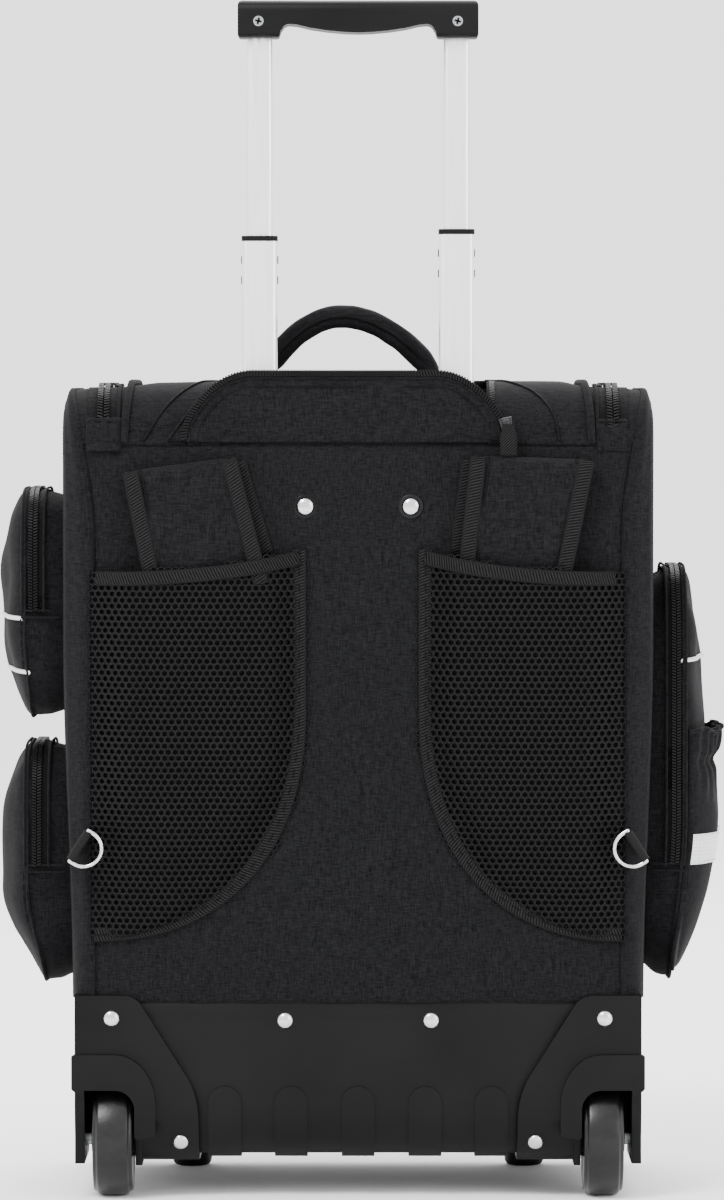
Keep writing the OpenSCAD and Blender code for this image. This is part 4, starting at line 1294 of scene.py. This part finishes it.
def smooth_shading():
    """A node group that shades gentle edges smooth and leaves the sharp ones crisp."""
    group = bpy.data.node_groups.new("smooth_gentle_edges", "GeometryNodeTree")
    group.interface.new_socket("Geometry", in_out="INPUT", socket_type="NodeSocketGeometry")
    group.interface.new_socket("Geometry", in_out="OUTPUT", socket_type="NodeSocketGeometry")
    given = add(group, "NodeGroupInput")
    bend = add(group, "GeometryNodeInputMeshEdgeAngle")
    gentle = add(group, "FunctionNodeCompare", {0: bend.outputs[0], 1: GENTLE}, operation="LESS_THAN")
    faces = add(group, "GeometryNodeSetShadeSmooth", {"Geometry": given.outputs[0]}, domain="FACE")
    edges = add(group, "GeometryNodeSetShadeSmooth", {"Geometry": faces.outputs[0], 2: gentle.outputs[0]},
                domain="EDGE")
    add(group, "NodeGroupOutput", {"Geometry": edges.outputs[0]})
    return group


SMOOTH = smooth_shading()


def carry_over(finish, rounding, *nodes):
    """Gives carried-over parts their finish, and rounds their edges by a small radius."""
    for node in nodes:
        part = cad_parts[node]
        part.data.materials.clear()
        part.data.materials.append(finish)
        modify(part, "WELD", merge_threshold=0.00002)
        if rounding:
            modify(part, "DECIMATE", decimate_type="DISSOLVE", angle_limit=math.radians(0.5))
            modify(part, "BEVEL", width=rounding * MM, segments=3, limit_method="ANGLE",
                   angle_limit=math.radians(34), use_clamp_overlap=True)
        modify(part, "NODES", node_group=SMOOTH)


def carried_over():
    carry_over(polypropylene, 1.4, "wheel_housing_left", "wheel_housing_right")
    carry_over(polypropylene, 0.7, "base_tray")
    carry_over(polypropylene, 0.5, "outer_collars", "mid_collars", "mid_guides", "inner_guides",
               "lower_bracket", "upper_bracket", "front_feet")
    carry_over(rubber, 0.6, "tyre_left", "tyre_right")
    carry_over(nylon, 0.5, "hub_left", "hub_right", "release_button")
    carry_over(grip_plastic, 1.2, "grip_rear_shell", "grip_front_shell")
    carry_over(zinc_steel, 0.2, "axle_left", "axle_right", "release_rods")
    carry_over(zinc_steel, 0, "button_spring", "grip_screws")
    carry_over(nickel, 0, "rivets", "d_ring_left", "d_ring_right")
    carry_over(aluminium, 0.15, "mid_tube_left", "mid_tube_right", "inner_tube_left", "inner_tube_right")
    carry_over(aluminium_dull, 0.15, "outer_tube_left", "outer_tube_right")
    carry_over(hardboard, 0.4, "floor_board")


def rivet_painted_shadow_rings():
    """A black ring under each rivet in the back panel, as a radius and a height spun round: a painted shadow
    round the rivet.
    """
    profile = [(5.2, -0.4), (7.4, -0.4), (7.6, 0.2), (6.9, 0.8), (5.2, 0.9)]
    bm = bmesh.new()
    for x, z in RIVETS:
        verts = [bm.verts.new((r, -h, 0)) for r, h in profile]
        edges = [bm.edges.new(pair) for pair in zip(verts, verts[1:])]
        bmesh.ops.spin(bm, geom=verts + edges, cent=(0, 0, 0), axis=(0, 1, 0), angle=2 * math.pi, steps=32,
                       use_merge=True)
        fresh = [v for v in bm.verts if not v.tag]
        bmesh.ops.translate(bm, verts=fresh, vec=(x, BACK - 0.5, z))
        for v in bm.verts:
            v.tag = True
    # Black enamel rings: painted shadow round each rivet.
    finish_piece("rivet_painted_shadow_rings", bm, [enamel], "bag")


def grip_screw_recess_shade():
    """Dark bars in the cross of each screw head: painted shade of the cross recess."""
    low, high = node_box("grip_screws")
    radius = (high.z - low.z) / 2
    bm = bmesh.new()
    for x in (low.x + radius, high.x - radius):
        for turn in (0.3, 0.3 + math.pi / 2):
            bar = bmesh.ops.create_cube(bm, size=1)["verts"]
            bmesh.ops.scale(bm, vec=(radius * 1.3, 0.3, radius * 0.4), verts=bar)
            bmesh.ops.rotate(bm, matrix=Matrix.Rotation(turn, 3, "Y"), verts=bar)
            bmesh.ops.translate(bm, vec=(x, low.y, low.z + radius), verts=bar)
    # Dark coil plastic in the cross: painted shade of the recess.
    finish_piece("grip_screw_recess_shade", bm, [coil], "handle_inner", smooth=False)


# ---- studio ----

WORLD_LIGHT = 2.3
# Each lamp's name, place, what it points at, size in metres and power in watts.
LAMPS = [
    ("key", (-1.4, -2.0, 2.9), (0, 0, 0.35), 1.2, 130),
    ("fill", (2.2, -2.0, 1.2), (0, 0, 0.3), 1.6, 30),
    ("rim", (0.2, 1.4, 2.2), (0, 0, 0.4), 1.8, 60),
]


def studio():
    floor = bpy.data.meshes.new("floor")
    bm = bmesh.new()
    bmesh.ops.create_grid(bm, x_segments=1, y_segments=1, size=6)
    bm.to_mesh(floor)
    bm.free()
    ground = bpy.data.objects.new("floor", floor)
    bpy.context.scene.collection.objects.link(ground)
    pale, _, bsdf = start("pale_floor", 0.9)
    bsdf.inputs["Base Color"].default_value = linear("#fbfbfb")
    floor.materials.append(pale)
    world = bpy.data.worlds.new("studio")
    bpy.context.scene.world = world
    world.use_nodes = True
    sky = world.node_tree.nodes["Background"].inputs
    sky[0].default_value = linear("#ffffff")
    sky[1].default_value = WORLD_LIGHT
    for name, spot, aim, size, power in LAMPS:
        light = bpy.data.lights.new(name, "AREA")
        light.size = size
        light.energy = power
        lamp = bpy.data.objects.new(name, light)
        bpy.context.scene.collection.objects.link(lamp)
        lamp.location = spot
        lamp.rotation_euler = (Vector(aim) - Vector(spot)).to_track_quat("-Z", "Y").to_euler()


def camera():
    """At the height of the bag's top, square to its back, far enough away for an almost flat view."""
    frame_height = 0.7044         # of what the view takes in at the back panel
    eye = Vector((0.0023, -3.7, 0.48))
    aim = Vector((0.0023, BACK * MM, 0.3531))
    data = bpy.data.cameras.new("camera")
    data.sensor_fit = "VERTICAL"
    data.sensor_height = 36
    data.lens = 36 * (aim - eye).length / frame_height
    view = bpy.data.objects.new("camera", data)
    bpy.context.scene.collection.objects.link(view)
    view.location = eye
    view.rotation_euler = (aim - eye).to_track_quat("-Z", "Y").to_euler()
    bpy.context.scene.camera = view


camera()
studio()
carried_over()
back_panel()
rolled_edges()
side_panels()
front_panel()
yoke()
lid()
top_bands()
over_top_zips()
garages()
top_seams()
flap()
flap_gore()
handle_well()
liner()
carry_handle()
mesh_pocket("left", LEFT, 31)
mesh_pocket("right", RIGHT, 36)
for word, (left, right) in STRAPS.items():
    strap(word, left, right)
side_pocket("side_pocket_upper_left_cloth", LEFT, "side_pocket_upper_left", 345, (341, 309), 0.12)
side_pocket("side_pocket_lower_left_cloth", LEFT, "side_pocket_lower_left", 194, (), 0.34)
tall = side_pocket("side_pocket_right_cloth", RIGHT, "side_pocket_right", 196, (316,), 0.3)
bottle_pouch(tall)
front_pocket()
web_tabs()
sliders()
flap_slider()
rivet_painted_shadow_rings()
grip_screw_recess_shade()
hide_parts("zips")
